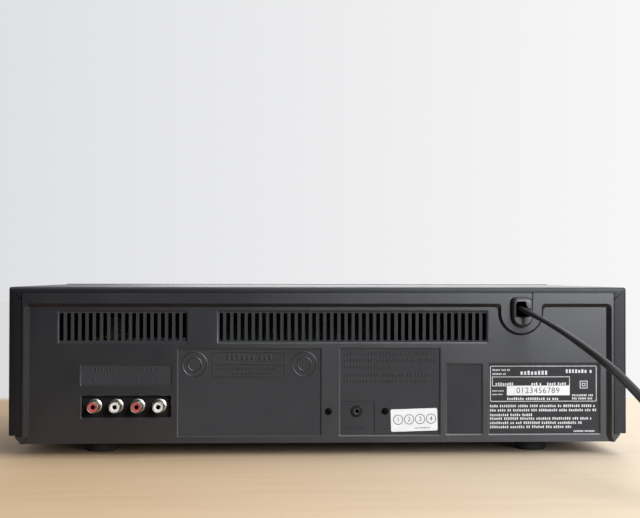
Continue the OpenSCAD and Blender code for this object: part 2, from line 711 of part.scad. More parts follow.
module flywheel(s) color("#b9a55c") at_deck(s) translate([capstan_x, 0, capstan_z]) union() {
    bar_y(0, 0, flywheel_r, [belt_y[0] - 0.6, belt_y[1] + 0.6]);
    bar_y(0, 0, 6, [belt_y[1] + 0.5, belt_y[1] + 2]);
    bar_y(0, 0, capstan_r, [mech_y - 11.5, bracket_y - 0.3]);
}

module drive_motor(s) at_deck(s) difference() {
    union() {
        bar_y(motor_x, motor_z, motor_r, [bracket_y + sheet, bracket_y + 23]);
        bar_y(motor_x, motor_z, 5, [bracket_y + 23 - eps, bracket_y + 25]);
    }
    bar_y(motor_x, motor_z, 1 + pin_gap, [bracket_y, bracket_y + 8]);
}

module drive_motors() color("#a8aaab") for (s = [-1, 1]) drive_motor(s);

module motor_pulley(s) color("#c9b46a") at_deck(s) {
    bar_y(motor_x, motor_z, pulley_r, [belt_y[0] - 0.4, belt_y[1] + 0.4]);
    bar_y(motor_x, motor_z, 1, [belt_y[1] + 0.4 - eps, bracket_y + 7]);
}

module head_carriage(s) color("#b5b7b8") at_deck(s) {
    face = [mech_y - 3.2, mech_y - 1.6];
    difference() {
        block([-34, 34], face, [30.5, 43.5]);
        for (m = [-1, 1])
            block([m * 20 - 1.6, m * 20 + 1.6], [face[0] - 1, face[1] + 1], [31.8, 41.6]);
    }
    // record and playback head with its tape guides, and the erase head
    block([-6.5, 6.5], [mech_y - 14.5, face[0] + eps], [37.5, 44]);
    translate([0, mech_y - 14.5, 41.5]) rotate([-90, 0, 0]) cylinder(r = 4, h = 11);
    block([-9, 9], [mech_y - 8, face[0] + eps], [38, 45.5]);
    block([-18, -11], [mech_y - 13, face[0] + eps], [38, 44.5]);
    bar_y(capstan_x, 41, 0.8, [mech_y - 11, face[0] + eps]);
}

module pinch_roller(s) color("#1e1e1e") at_deck(s) difference() {
    bar_y(capstan_x, 41, 5.5, [mech_y - 10.5, mech_y - 4]);
    bar_y(capstan_x, 41, 0.8 + pin_gap, [mech_y - 12, mech_y - 3]);
}

// ---- Keys, buttons and knobs ----

// A key: cap through the fascia, retaining flange behind it, stem to its switch
module key(x, z, w, h, travel) {
    stem_end = board_y - 2 - travel - 0.3;
    block([x - w / 2, x + w / 2], [y_front - 2.5, y_plate + 2], [z - h / 2, z + h / 2]);
    block([x - w / 2 - 0.9, x + w / 2 + 0.9], [y_plate + 0.6, y_plate + 2],
          [z - h / 2 - 1, z + h / 2 + 1]);
    bar_y(x, z, 2, [y_plate + 2 - eps, stem_end]);
}

module transport_key(x, w) color("#2a2a2b") key(x, key_z, w, key_h, key_travel);
module dub_button(i) color("#34343a") key(dub_x[i], key_z, dub_w, key_h, key_travel);
module eject_button(s) color("#2a2a2b") key(s * eject_x, eject_z, 12, 8, push_travel);
module power_button() color("#2a2a2b") key(power_x, power_z, 24, 11, push_travel);

module knob(x, z, r, front) difference() {
    union() {
        bar_y(x, z, r, [front, y_front - 1.2]);
        bar_y(x, z, shaft_r, [y_front - 1.3, board_y - 0.6]);
    }
    // pointer groove
    block([x - 0.6, x + 0.6], [front - 1, front + 0.6], [z + r * 0.45, z + r + 1]);
}

module record_level_knob() color("#2c2c2e") knob(level_x, level_z, level_r, y_knob);
module phones_level_knob() color("#2c2c2e") knob(phones_x, phones_z, phones_r, y_front - 9);

chassis_pan();
top_cover();
rear_panel();
front_fascia();
feet();
case_screws();
display_window();
display_module();
control_board();
panel_switches();
main_board();
power_transformer();
cord_bush();
mains_cord();
mains_cord_coil();
mains_plug();
plug_pins();
jack_block();
jack_shells();
jack_inserts_red();
jack_inserts_white();
remote_jack();
headphone_socket();
deck_frame(-1);  // deck_frame_a
deck_frame(1);  // deck_frame_b
motor_brackets();
drive_belts();
door(-1);  // door_a
door(1);  // door_b
door_window(-1);  // door_window_a
door_window(1);  // door_window_b
reel(-1, -1);  // supply_reel_a
reel(1, -1);  // supply_reel_b
reel(-1, 1);  // take_up_reel_a
reel(1, 1);  // take_up_reel_b
flywheel(-1);  // flywheel_a
flywheel(1);  // flywheel_b
drive_motors();
motor_pulley(-1);  // motor_pulley_a
motor_pulley(1);  // motor_pulley_b
head_carriage(-1);  // head_carriage_a
head_carriage(1);  // head_carriage_b
pinch_roller(-1);  // pinch_roller_a
pinch_roller(1);  // pinch_roller_b
power_button();
eject_button(-1);  // eject_button_a
eject_button(1);  // eject_button_b
record_level_knob();
phones_level_knob();
for (i = [0 : 3]) transport_key(key_x_a(i), key_w_a);
for (i = [0 : 4]) transport_key(key_x_b(i), key_w_b);
dub_button(0);  // dub_key
dub_button(1);  // fast_dub_key
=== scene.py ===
"""A full-width twin cassette deck of the tape-copying kind, dressed over its CAD frame."""
import math
import random

import bmesh
import bpy
from mathutils import Matrix, Vector


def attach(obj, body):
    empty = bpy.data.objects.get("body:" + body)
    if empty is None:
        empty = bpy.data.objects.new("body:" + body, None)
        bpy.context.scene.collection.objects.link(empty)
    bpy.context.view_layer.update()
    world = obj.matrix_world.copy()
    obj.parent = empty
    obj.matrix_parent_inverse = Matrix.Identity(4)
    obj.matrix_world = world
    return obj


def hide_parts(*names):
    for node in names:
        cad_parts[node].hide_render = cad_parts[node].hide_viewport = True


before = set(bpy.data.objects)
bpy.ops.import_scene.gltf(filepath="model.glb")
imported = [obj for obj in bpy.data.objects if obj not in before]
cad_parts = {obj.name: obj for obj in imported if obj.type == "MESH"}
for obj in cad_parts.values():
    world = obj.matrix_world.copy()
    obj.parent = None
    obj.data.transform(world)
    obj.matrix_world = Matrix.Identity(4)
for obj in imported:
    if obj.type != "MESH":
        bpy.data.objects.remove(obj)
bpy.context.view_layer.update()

# Lengths in the shape code are millimetres; a piece is scaled to metres as it is made.
MM = 0.001

# The deck's main planes: the knob's front, the fascia's front and the cover's front edge; and on
# the connector panel the broad field, the sunk fields and the deeper step under the remote jack
Y_KNOB, Y_FRONT, Y_COVER = -141.0, -129.0, -115.0
Y_FIELD, Y_SUNK, Y_STEP = 132.0, 131.4, 130.8
HALF_W = 217.0
Z_TOP = 119.0
# Middle of each tape deck, either side of the centre
DECK_X = 142.0
# How far a mark or a trim is let into the face that carries it
LET_IN = 0.02
# Connectors and their screws
JACK_X = [135.6 + (i - 1.5) * 15.0 for i in range(4)]
JACK_Z, JACK_FACE, JACK_TIP = 35.6, 128.0, 141.0
REMOTE_X, SCREW_Z = -25.7, 31.6
PANEL_SCREWS = ((-5.7, Y_FIELD), (-45.8, Y_SUNK))
BUSH_X = -142.0

# ---- Camera ----

CAMERA_AT = (0.03788, 1.0021, 0.12724)
LENS, SENSOR = 69.53, 36.0
YAW, PITCH, ROLL = (math.radians(a) for a in (2.458, 0.760, 0.085))


def place_camera():
    """A camera behind the deck, level with its upper part and a little to its left."""
    data = bpy.data.cameras.new("camera")
    data.lens, data.sensor_width = LENS, SENSOR
    camera = bpy.data.objects.new("camera", data)
    bpy.context.collection.objects.link(camera)
    aim = Vector((-math.sin(YAW) * math.cos(PITCH), -math.cos(YAW) * math.cos(PITCH), math.sin(PITCH)))
    camera.rotation_euler = aim.to_track_quat("-Z", "Y").to_euler()
    camera.rotation_euler.rotate_axis("Z", ROLL)
    camera.location = CAMERA_AT
    bpy.context.scene.camera = camera


# ---- Materials: tools ----


def linear(code):
    """An sRGB hex colour as linear RGBA."""
    parts = [int(code[i:i + 2], 16) / 255 for i in (0, 2, 4)]
    return tuple(c / 12.92 if c <= 0.04045 else ((c + 0.055) / 1.055) ** 2.4 for c in parts) + (1.0,)


def add(tree, kind, joins=None, **settings):
    """A node with its settings; joins maps an input to a value or to another node's output."""
    node = tree.nodes.new("ShaderNode" + kind)
    for name, value in settings.items():
        setattr(node, name, value)
    for socket, value in (joins or {}).items():
        if isinstance(value, bpy.types.NodeSocket):
            tree.links.new(value, node.inputs[socket])
        else:
            node.inputs[socket].default_value = value
    return node


def start(name, **sockets):
    """A new material, with its constants set on the shader's own sockets."""
    material = bpy.data.materials.new(name)
    material.use_nodes = True
    shader = material.node_tree.nodes["Principled BSDF"]
    for socket, value in sockets.items():
        shader.inputs[socket.replace("_", " ")].default_value = value
    return material, material.node_tree, shader


def patches(tree, size, detail=3.0, squash=(1, 1, 1)):
    """A random pattern with patches about size millimetres across, squashed along an axis."""
    place = add(tree, "TexCoord").outputs["Object"]
    spread = add(tree, "Mapping", {"Vector": place, "Scale": squash}).outputs[0]
    noise = add(tree, "TexNoise", {"Vector": spread, "Scale": 1 / (size * MM), "Detail": detail})
    return noise.outputs["Fac"]


def two_tone(tree, shader, pattern, dark, light):
    """The base colour wanders between two tones with a pattern."""
    ramp = add(tree, "MapRange", {"Value": pattern, 1: 0.3, 2: 0.7})
    tone = add(tree, "Mix", {0: ramp.outputs[0], 6: linear(dark), 7: linear(light)}, data_type="RGBA")
    tree.links.new(tone.outputs[2], shader.inputs["Base Color"])


def gloss(tree, shader, pattern, low, high):
    """The roughness wanders between low and high with a pattern."""
    ramp = add(tree, "MapRange", {"Value": pattern, 1: 0.3, 2: 0.7, 3: low, 4: high})
    tree.links.new(ramp.outputs[0], shader.inputs["Roughness"])


def relief(tree, shader, pattern, depth):
    """The surface rises and falls by depth millimetres with a pattern."""
    bump = add(tree, "Bump", {"Strength": 1.0, "Distance": depth * MM, "Height": pattern})
    tree.links.new(bump.outputs[0], shader.inputs["Normal"])


def moulded(name, dark, light, rough, grain=0.0, depth=0.02, ior=1.5, mottle=18.0):
    """A moulded plastic: faint flow clouds in its colour, uneven gloss, and a mould grain."""
    material, tree, shader = start(name, IOR=ior)
    two_tone(tree, shader, patches(tree, mottle), dark, light)
    gloss(tree, shader, patches(tree, mottle / 3), rough - 0.04, rough + 0.05)
    if grain:
        relief(tree, shader, patches(tree, grain, 1.0), depth)
    return material


def metal(name, dark, light, rough, lay=(1, 1, 1), grain=0.6, depth=0.01):
    """A bare or plated metal: lay stretches the marks along the way it was worked."""
    material, tree, shader = start(name, Metallic=1.0)
    marks = patches(tree, grain, 2.0, lay)
    two_tone(tree, shader, patches(tree, 9.0), dark, light)
    gloss(tree, shader, marks, rough - 0.06, rough + 0.08)
    relief(tree, shader, marks, depth)
    return material


# ---- Materials: the deck's own finishes ----


def panel_abs():
    """Black ABS from a spark-eroded mould: an even fine grain, drawn at 0.7 mm so that it
    shows, gives a grey sheen that follows the light; the sunk label fields are etched duller."""
    material, tree, shader = start("panel_abs", IOR=1.56)
    two_tone(tree, shader, patches(tree, 45.0), "101012", "141416")
    depth = add(tree, "SeparateXYZ", {0: add(tree, "TexCoord").outputs["Object"]}).outputs[1]
    dull = add(tree, "MapRange", {"Value": depth, 1: (Y_SUNK + 0.2) * MM, 2: (Y_SUNK + 0.05) * MM,
                                  3: 0.0, 4: 0.50}).outputs[0]
    rubbed = add(tree, "MapRange", {"Value": patches(tree, 30.0, 5.0), 1: 0.3, 2: 0.7, 3: 0.32, 4: 0.38})
    rough = add(tree, "Math", {0: rubbed.outputs[0], 1: dull}, operation="ADD").outputs[0]
    tree.links.new(rough, shader.inputs["Roughness"])
    relief(tree, shader, patches(tree, 0.7, 1.0), 0.012)
    return material


def cover_enamel():
    """Satin black enamel baked on sheet steel: a slight orange peel, 1.5 mm across, in the
    gloss; the top and its folds are duller and greyer, part dust and part painted sheen."""
    material, tree, shader = start("cover_enamel", IOR=1.34)
    height = add(tree, "SeparateXYZ", {0: add(tree, "TexCoord").outputs["Object"]}).outputs[2]
    # the top and the upper part of the folds take the second, greyer pair of tones: part a layer of dust,
    # part painted sheen where they would reflect the room
    dust_and_sheen = add(tree, "MapRange", {"Value": height, 1: (Z_TOP - 2.0) * MM, 2: (Z_TOP - 0.4) * MM}).outputs[0]
    clouds = add(tree, "MapRange", {"Value": patches(tree, 60.0), 1: 0.3, 2: 0.7}).outputs[0]
    tones = [add(tree, "Mix", {0: clouds, 6: linear(dark), 7: linear(light)}, data_type="RGBA").outputs[2]
             for dark, light in (("08080a", "0c0c0e"), ("2a2a2c", "343436"))]
    tone = add(tree, "Mix", {0: dust_and_sheen, 6: tones[0], 7: tones[1]}, data_type="RGBA")
    tree.links.new(tone.outputs[2], shader.inputs["Base Color"])
    dull = add(tree, "Math", {0: dust_and_sheen, 1: 0.06}, operation="MULTIPLY").outputs[0]
    peel = add(tree, "MapRange", {"Value": patches(tree, 25.0, 4.0), 1: 0.3, 2: 0.7, 3: 0.40, 4: 0.46})
    rough = add(tree, "Math", {0: peel.outputs[0], 1: dull}, operation="ADD").outputs[0]
    tree.links.new(rough, shader.inputs["Roughness"])
    relief(tree, shader, patches(tree, 1.5, 1.0), 0.006)
    return material


def window_acrylic():
    """Smoked acrylic, polished: a dark see-through sheet with a sharp gloss."""
    material, tree, shader = start("window_acrylic", Roughness=0.05, IOR=1.49,
                                   Transmission_Weight=1.0)
    two_tone(tree, shader, patches(tree, 80.0), "9a9ea2", "a6aaae")
    return material


def lead_pvc():
    """Black plasticised PVC, extruded: faint streaks along the lead and a dull sheen."""
    material, tree, shader = start("lead_pvc", IOR=1.53)
    two_tone(tree, shader, patches(tree, 14.0), "1b1b1c", "232324")
    gloss(tree, shader, patches(tree, 5.0, 4.0), 0.40, 0.52)
    relief(tree, shader, patches(tree, 1.2, 2.0), 0.02)
    return material


def print_ink():
    """White pad-printing ink: matt, with thin places where the pad lifted."""
    material, tree, shader = start("print_ink", Roughness=0.6)
    two_tone(tree, shader, patches(tree, 1.1, 2.0), "9c9b9b", "c2c1c0")
    return material


def label_paper():
    """White coated paper label: faint fibre clouds and a soft sheen."""
    material, tree, shader = start("label_paper", Roughness=0.5)
    two_tone(tree, shader, patches(tree, 2.5, 4.0), "b6b5b4", "c0bfbd")
    relief(tree, shader, patches(tree, 0.8, 2.0), 0.01)
    return material


PLASTICS = {
    # injection-moulded ABS with a satin paint: the fascia
    "fascia_satin": dict(dark="19191a", light="1e1e1f", rough=0.38, grain=0.8, depth=0.01),
    # natural-rubber blend, pressed: dull and slightly grey
    "foot_rubber": dict(dark="141415", light="1d1d1e", rough=0.75, grain=1.0, depth=0.05),
    # nylon 6/6, moulded: a waxy, darker black
    "bush_nylon": dict(dark="151516", light="1c1c1d", rough=0.42, grain=0.6, depth=0.02),
    # the same nylon deep in the mouth, coloured nearly black as painted shade
    "throat_shade": dict(dark="040404", light="080808", rough=0.85, mottle=4.0),
    # the clamp half's nylon: a lighter grey than the bush
    "clamp_nylon": dict(dark="39393b", light="434345", rough=0.42, grain=0.6, depth=0.03),
    # soft PVC moulded over the plug, coarsely textured: a dull grip
    "plug_pvc": dict(dark="1c1c1d", light="252526", rough=0.5, grain=0.7, depth=0.05),
    # glass-filled phenolic block behind the pin jacks
    "jack_phenolic": dict(dark="070707", light="0b0b0b", rough=0.85, ior=1.3, grain=0.6),
    # dyed polypropylene inserts, smooth: a soft highlight, and the same tone all round
    "jack_red": dict(dark="8f3c3a", light="9e4743", rough=0.38, ior=1.49, mottle=3.0),
    "jack_white": dict(dark="b4b1aa", light="c4c1bb", rough=0.38, ior=1.49, mottle=3.0),
    # dyed ABS: finely matt keys, bluish grey on the dubbing keys, and glossier knobs and doors
    "key_abs": dict(dark="262628", light="2d2d2f", rough=0.42, grain=0.7, depth=0.02),
    "dub_key_abs": dict(dark="34343a", light="3c3c42", rough=0.42, grain=0.7, depth=0.02),
    "knob_abs": dict(dark="202022", light="28282a", rough=0.36, grain=0.7, depth=0.02),
    "door_abs": dict(dark="1b1b1c", light="212122", rough=0.35, grain=0.8, depth=0.01),
    # white acetal, moulded and self-lubricating: slightly see-through and waxy
    "reel_acetal": dict(dark="d6d3c9", light="e6e3da", rough=0.35, mottle=6.0),
    # neoprene, ground on the rollers and moulded as a belt: matt, with no clear highlight
    "roller_neoprene": dict(dark="1a1a1a", light="242424", rough=0.7, grain=0.5, depth=0.03),
    "belt_rubber": dict(dark="131313", light="1b1b1b", rough=0.6, grain=0.6, depth=0.02),
    # PBT switch bodies: an even dark grey
    "switch_plastic": dict(dark="303034", light="3a3a3e", rough=0.5, mottle=5.0),
    # the display's painted back plate: nearly black, with a green cast
    "display_black": dict(dark="0a1112", light="101819", rough=0.45, mottle=12.0),
    # glass-epoxy under green solder resist
    "control_laminate": dict(dark="1f4a30", light="27563a", rough=0.35, grain=1.6, mottle=7.0),
    # phenolic paper board, tan, with its brownish fibre clouds
    "main_laminate": dict(dark="8a7040", light="a08450", rough=0.5, grain=1.4, mottle=5.0),
    # nylon sockets: a waxy black with a fine texture
    "socket_plastic": dict(dark="161617", light="1d1d1e", rough=0.4, grain=0.6),
    # fluorescent display: unlit segments, and the orange of its top end
    "segment_teal": dict(dark="6fb0a0", light="86c6b4", rough=0.4, mottle=3.0),
    "segment_orange": dict(dark="c8693a", light="dc8048", rough=0.4, mottle=3.0),
    # pad-printed inks on the keys, the fascia and the label: flat and matt
    "key_print": dict(dark="c4c4c2", light="d8d8d6", rough=0.5, mottle=1.5),
    "red_print": dict(dark="b8383a", light="cc4648", rough=0.5, mottle=1.5),
    "label_ink": dict(dark="2b2b2d", light="3a3a3c", rough=0.5, mottle=1.5),
    "scale_grey": dict(dark="7e7e7c", light="949492", rough=0.5, mottle=1.5),
}
METALS = {
    # mild steel, pressed and zinc-plated, coloured nearly black as painted shade so the mechanism seen
    # through the rear vents stays dark: a soft dark sheen
    "frame_zinc_painted_shade": dict(dark="202123", light="2b2c2f", rough=0.42, grain=2.5),
    # the same steel passivated clear: a pale grey with a soft sheen
    "bracket_zinc": dict(dark="9fa1a3", light="b4b6b8", rough=0.36, grain=2.0),
    # bright nickel over brass
    "nickel_plate": dict(dark="8f8a7e", light="a8a296", rough=0.34, grain=1.2, depth=0.005),
    # phosphor-bronze spring contact, coloured nearly black as painted shade deep in its bore
    "contact_painted_shade": dict(dark="0e0d0c", light="171513", rough=0.6, grain=0.8),
    # brass turned on a lathe: rings round the axis along Y
    "turned_brass": dict(dark="b3964e", light="c9ad63", rough=0.26, lay=(1, 0.1, 1), grain=0.8),
    # deep-drawn steel can, bright zinc
    "motor_can": dict(dark="9a9c9e", light="b2b4b6", rough=0.3, lay=(1, 0.1, 1), grain=1.2),
    # stainless steel, brushed along X: fine lines and a long highlight
    "head_plate": dict(dark="a6a8aa", light="bcbec0", rough=0.3, lay=(0.15, 1, 1), grain=1.0),
    # laminated silicon steel under brown varnish
    "core_laminations": dict(dark="6b5d4c", light="7e6f5c", rough=0.45, lay=(1, 8, 1), grain=4.0),
    # black oxide on steel
    "screw_black": dict(dark="0c0c0c", light="141414", rough=0.5, grain=0.6),
}


def chassis_enamel():
    """Black powder coat on the folded pan: a coarser pebble than the cover's enamel."""
    return moulded("chassis_enamel", "1a1a1b", "202021", 0.55, grain=1.4, depth=0.05)


def every_finish():
    """All finishes by name."""
    made = [panel_abs(), cover_enamel(), window_acrylic(), lead_pvc(), print_ink(), label_paper(),
            chassis_enamel()]
    made += [moulded(name, **how) for name, how in PLASTICS.items()]
    made += [metal(name, **how) for name, how in METALS.items()]
    return {material.name: material for material in made}


# The frame's plain colours give way to the finishes.
for plain in list(bpy.data.materials):
    bpy.data.materials.remove(plain)
finishes = every_finish()

# ---- Mesh tools: a shape is a bmesh in millimetres ----


def outline(x0, x1, z0, z1, r=0.0, steps=4):
    """A rectangle's corners in X and Z, rounded by r."""
    if r <= 0:
        return [(x0, z0), (x1, z0), (x1, z1), (x0, z1)]
    turn = [math.pi / 2 * k / steps for k in range(steps + 1)]
    middles = [(x0 + r, z0 + r, math.pi), (x1 - r, z0 + r, 1.5 * math.pi), (x1 - r, z1 - r, 0),
               (x0 + r, z1 - r, 0.5 * math.pi)]
    return [(x + r * math.cos(a + t), z + r * math.sin(a + t)) for x, z, a in middles for t in turn]


def circle(x, z, r, steps=32):
    """A circle's points in X and Z."""
    turn = [math.tau * k / steps for k in range(steps)]
    return [(x + r * math.cos(a), z + r * math.sin(a)) for a in turn]


def loft(shape, rings, cap=True):
    """Skins a row of rings, each the same number of 3-D points, and caps its ends."""
    rows = [[shape.verts.new(p) for p in ring] for ring in rings]
    for a, b in zip(rows, rows[1:]):
        for k in range(len(a)):
            shape.faces.new((a[k - 1], a[k], b[k], b[k - 1]))
    if cap:
        shape.faces.new(rows[0])
        shape.faces.new(rows[-1][::-1])
    return rows


def plate(shape, points, y0, y1, edge=0.0):
    """An outline in X and Z given depth from y0 to y1; edge draws in the y1 face by a chamfer."""
    def ring(y, grow):
        if not grow:
            return [(x, y, z) for x, z in points]
        mx = sum(p[0] for p in points) / len(points)
        mz = sum(p[1] for p in points) / len(points)
        wide = max(max(abs(p[0] - mx) for p in points), 1e-6)
        tall = max(max(abs(p[1] - mz) for p in points), 1e-6)
        return [(mx + (x - mx) * (1 - grow / wide), y, mz + (z - mz) * (1 - grow / tall))
                for x, z in points]
    sign = 1 if y1 > y0 else -1
    rings = [ring(y0, 0), ring(y1 - sign * edge, 0)] + ([ring(y1, edge)] if edge else [])
    loft(shape, rings)


def band(shape, outer, inner, y0, y1):
    """A closed band between two outlines with the same number of points."""
    def ring(points, y):
        return [(x, y, z) for x, z in points]
    loft(shape, [ring(inner, y0), ring(outer, y0), ring(outer, y1), ring(inner, y1), ring(inner, y0)],
         cap=False)
    bmesh.ops.remove_doubles(shape, verts=shape.verts, dist=1e-5)


def turned(shape, x, z, profile, steps=48):
    """A solid turned about an axis along Y; profile is (radius, y), closed at both ends."""
    rings = [[(x + r * math.cos(a), y, z + r * math.sin(a))
              for a in (math.tau * k / steps for k in range(steps))] for r, y in profile]
    loft(shape, rings)


def smooth_route(points, per_span):
    """A curve through the points, finer by per_span."""
    out = []
    for i in range(len(points) - 1):
        p0, p1, p2, p3 = (Vector(points[min(max(i + k, 0), len(points) - 1)]) for k in (-1, 0, 1, 2))
        for k in range(per_span):
            t = k / per_span
            out.append(0.5 * (2 * p1 + (p2 - p0) * t + (2 * p0 - 5 * p1 + 4 * p2 - p3) * t ** 2
                              + (3 * p1 - p0 - 3 * p2 + p3) * t ** 3))
    return out + [Vector(points[-1])]


def show(name, shape, finish, body="case", smooth=40.0):
    """Turns a shape into a named piece, in metres, that rides on a body."""
    bmesh.ops.recalc_face_normals(shape, faces=shape.faces)
    mesh = bpy.data.meshes.new(name)
    shape.to_mesh(mesh)
    shape.free()
    mesh.transform(Matrix.Scale(MM, 4))
    piece = bpy.data.objects.new(name, mesh)
    bpy.context.collection.objects.link(piece)
    mesh.materials.append(finishes[finish])
    mesh.polygons.foreach_set("use_smooth", [True] * len(mesh.polygons))
    mesh.set_sharp_from_angle(angle=math.radians(smooth))
    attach(piece, body)
    return piece


def ease(piece, width, segments=2):
    """Breaks a piece's sharp edges by a small round."""
    weld = piece.modifiers.new("weld", "WELD")
    weld.merge_threshold = 1e-6
    bevel = piece.modifiers.new("edge", "BEVEL")
    bevel.width, bevel.segments, bevel.limit_method = width * MM, segments, "ANGLE"
    bevel.angle_limit, bevel.harden_normals = 0.6, True
    return piece


def coat(node, finish, edge=0.0):
    """Gives a CAD node its finish, and eases its edges."""
    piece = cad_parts[node]
    piece.data.materials.clear()
    piece.data.materials.append(finishes[finish])
    if edge:
        ease(piece, edge)


# ---- The mains lead ----

LEAD_W, LEAD_T = 5.4, 3.4
# From the bush in the air down to the table, and from the coil to the plug
LEAD_ROUTE = [
    (-141.5, 136, 103.5), (-142.5, 140, 103), (-145, 147, 101.5), (-148.5, 157, 98.8),
    (-152.5, 170, 95.5), (-156.5, 184, 91.8), (-160, 198, 88), (-163.3, 212, 84),
    (-166.3, 226, 80), (-169.2, 240, 75.9), (-171.8, 254, 71.6), (-174.3, 268, 66.9),
    (-176.7, 282, 61.7), (-179.2, 296, 55.9), (-181.9, 310, 49.4), (-184.9, 324, 42.1),
    (-188.6, 338, 34), (-193.4, 351.5, 25.4), (-199.8, 364, 17.4), (-208.4, 375.4, 10.9),
    (-219.2, 385.2, 6.3), (-231, 392.3, 3.9), (-242.8, 396, 3.1), (-254, 396.95, 2.9)]
TAIL_ROUTE = [(-294.95, 356, 8.3), (-294.95, 346, 7.9), (-294.8, 336, 7.1), (-294.6, 326, 6.4),
              (-294.4, 316, 6.3), (-294.4, 306, 6.9), (-294.4, 296, 6.9)]
COIL_AT = (-254.0, 356.0)
# Outermost and innermost radius, the step from turn to turn, and the heights of the two layers
COIL_OUT, COIL_IN, COIL_PITCH, COIL_Z = 40.95, 22.05, 5.4, (2.9, 8.3)
# Turns in a layer, the part of a turn in which the lead climbs, and points in each turn
TURNS, CLIMB, PER_TURN = 3.5, 0.25, 24
# Angle of the lead's broad side at the bush, out in its free run, in the coil and at the plug
TWIST = (37.7, 127.7, 90.0, 0.0)
# Where the first of these turns begins and ends, along the lead
TWIST_RUN = (12.0, 178.0)


def coil_route():
    """The lead's turns: inwards in a lower layer, up, and outwards in an upper one."""
    out, steps = [], round(TURNS * PER_TURN)
    for k in range(1, steps + 1):
        out.append((90 + 360 * k / PER_TURN, COIL_OUT - COIL_PITCH * k / PER_TURN, COIL_Z[0]))
    rise = round(CLIMB * PER_TURN)
    for k in range(1, rise + 1):
        up = 0.5 - 0.5 * math.cos(math.pi * k / rise)
        out.append((90 + 360 * (TURNS + k / PER_TURN), COIL_IN, COIL_Z[0] + (COIL_Z[1] - COIL_Z[0]) * up))
    for k in range(1, steps):
        out.append((360 * k / PER_TURN, COIL_IN + COIL_PITCH * k / PER_TURN, COIL_Z[1]))
    middle = Vector((*COIL_AT, 0))
    return [middle + Vector((r * math.cos(math.radians(a)), r * math.sin(math.radians(a)), z))
            for a, r, z in out]


def blend_angle(s, s0, s1, a0, a1):
    """An angle that eases from a0 to a1 as s goes from s0 to s1."""
    t = min(max((s - s0) / (s1 - s0), 0), 1)
    return a0 + (a1 - a0) * t * t * (3 - 2 * t)


def mains_lead():
    """The flat twin lead in one piece, from the bush to the plug, and the path it follows."""
    lead, tail = smooth_route(LEAD_ROUTE, 3), smooth_route(TAIL_ROUTE, 3)
    path = lead + coil_route() + tail
    run = [0.0]
    for a, b in zip(path, path[1:]):
        run.append(run[-1] + (b - a).length)
    lead_end, tail_start = run[len(lead) - 1], run[len(path) - len(tail)]
    rings = []
    for i, p in enumerate(path):
        along = Vector((0, 1, 0)) if i == 0 else \
            (path[min(i + 1, len(path) - 1)] - path[i - 1]).normalized()
        angle = blend_angle(run[i], TWIST_RUN[0], TWIST_RUN[1], TWIST[0], TWIST[1])
        if run[i] > TWIST_RUN[1]:
            angle = blend_angle(run[i], TWIST_RUN[1], lead_end, TWIST[1], TWIST[2])
        if run[i] > tail_start:
            angle = blend_angle(run[i], tail_start, run[-1], TWIST[2], TWIST[3])
        guide = Vector((math.cos(math.radians(angle)), 0, math.sin(math.radians(angle))))
        broad = (guide - along * guide.dot(along)).normalized()
        thin = along.cross(broad)
        # a flat sheath with round edges, as it lies over two cores side by side
        rings.append([p + broad * x + thin * z for x, z in
                      outline(-LEAD_W / 2, LEAD_W / 2, -LEAD_T / 2, LEAD_T / 2, LEAD_T / 2 - 0.01, 5)])
    shape = bmesh.new()
    loft(shape, rings)
    piece = show("mains_lead", shape, "lead_pvc", smooth=60)
    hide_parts("mains_cord", "mains_cord_coil")
    return piece, [tuple(p * MM) for p in path]


PLUG_Z, PLUG_X = 6.9, -294.4
PIN_X = 9.3
# Half width, half thickness and y along the plug, from the lead to its face
PLUG_RINGS = [(4.0, 3.9, 296), (4.1, 4.0, 293), (3.6, 3.5, 292.6), (3.6, 3.5, 291.2), (4.4, 4.2, 290.8),
              (4.4, 4.2, 288.2), (3.8, 3.7, 287.8), (3.8, 3.7, 286.4), (4.8, 4.5, 286.0),
              (4.8, 4.5, 283.4), (4.1, 3.9, 283.0), (4.1, 3.9, 281.6), (5.2, 4.8, 281.2),
              (5.2, 4.8, 278.6), (4.6, 4.3, 278.2), (4.6, 4.3, 276.8), (5.8, 5.2, 276.2),
              (6.4, 5.5, 273), (9.0, 6.0, 269.5), (14.0, 6.5, 264.5), (16.8, 6.7, 259.0),
              (17.5, 6.7, 254.0), (17.5, 6.7, 244.0), (17.2, 6.5, 239.4), (16.4, 5.8, 238.0)]


def mains_plug():
    """Flat two-pin plug: ribbed strain relief, waisted grip, square nose."""
    shape = bmesh.new()
    rings = []
    for w, t, y in PLUG_RINGS:
        corner = min(w, t) * (0.95 if y > 270 else 0.55)
        rings.append([(PLUG_X + x, y, PLUG_Z + z) for x, z in outline(-w, w, -t, t, corner, 5)])
    loft(shape, rings)
    piece = show("plug_body", shape, "plug_pvc")
    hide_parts("mains_plug")
    pins, sleeves = bmesh.new(), bmesh.new()
    for s in (-1, 1):
        x = PLUG_X + s * PIN_X
        turned(pins, x, PLUG_Z, [(1.85, 240), (1.85, 231), (2.0, 230.6), (2.0, 220.6), (1.7, 219.6),
                                 (0.9, 219.05)])
        turned(sleeves, x, PLUG_Z, [(1.95, 238.2), (1.95, 229.6), (1.86, 229.4)])
    metal_pins = show("plug_pins_metal", pins, "nickel_plate")
    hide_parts("plug_pins")
    sleeve = show("plug_pin_sleeves", sleeves, "plug_pvc")
    return [piece, metal_pins, sleeve]


# The tie: where round the coil it sits, half its width, and its thickness
TIE_ANGLE, TIE_HALF_W, TIE_T = 215, 3.0, 0.7


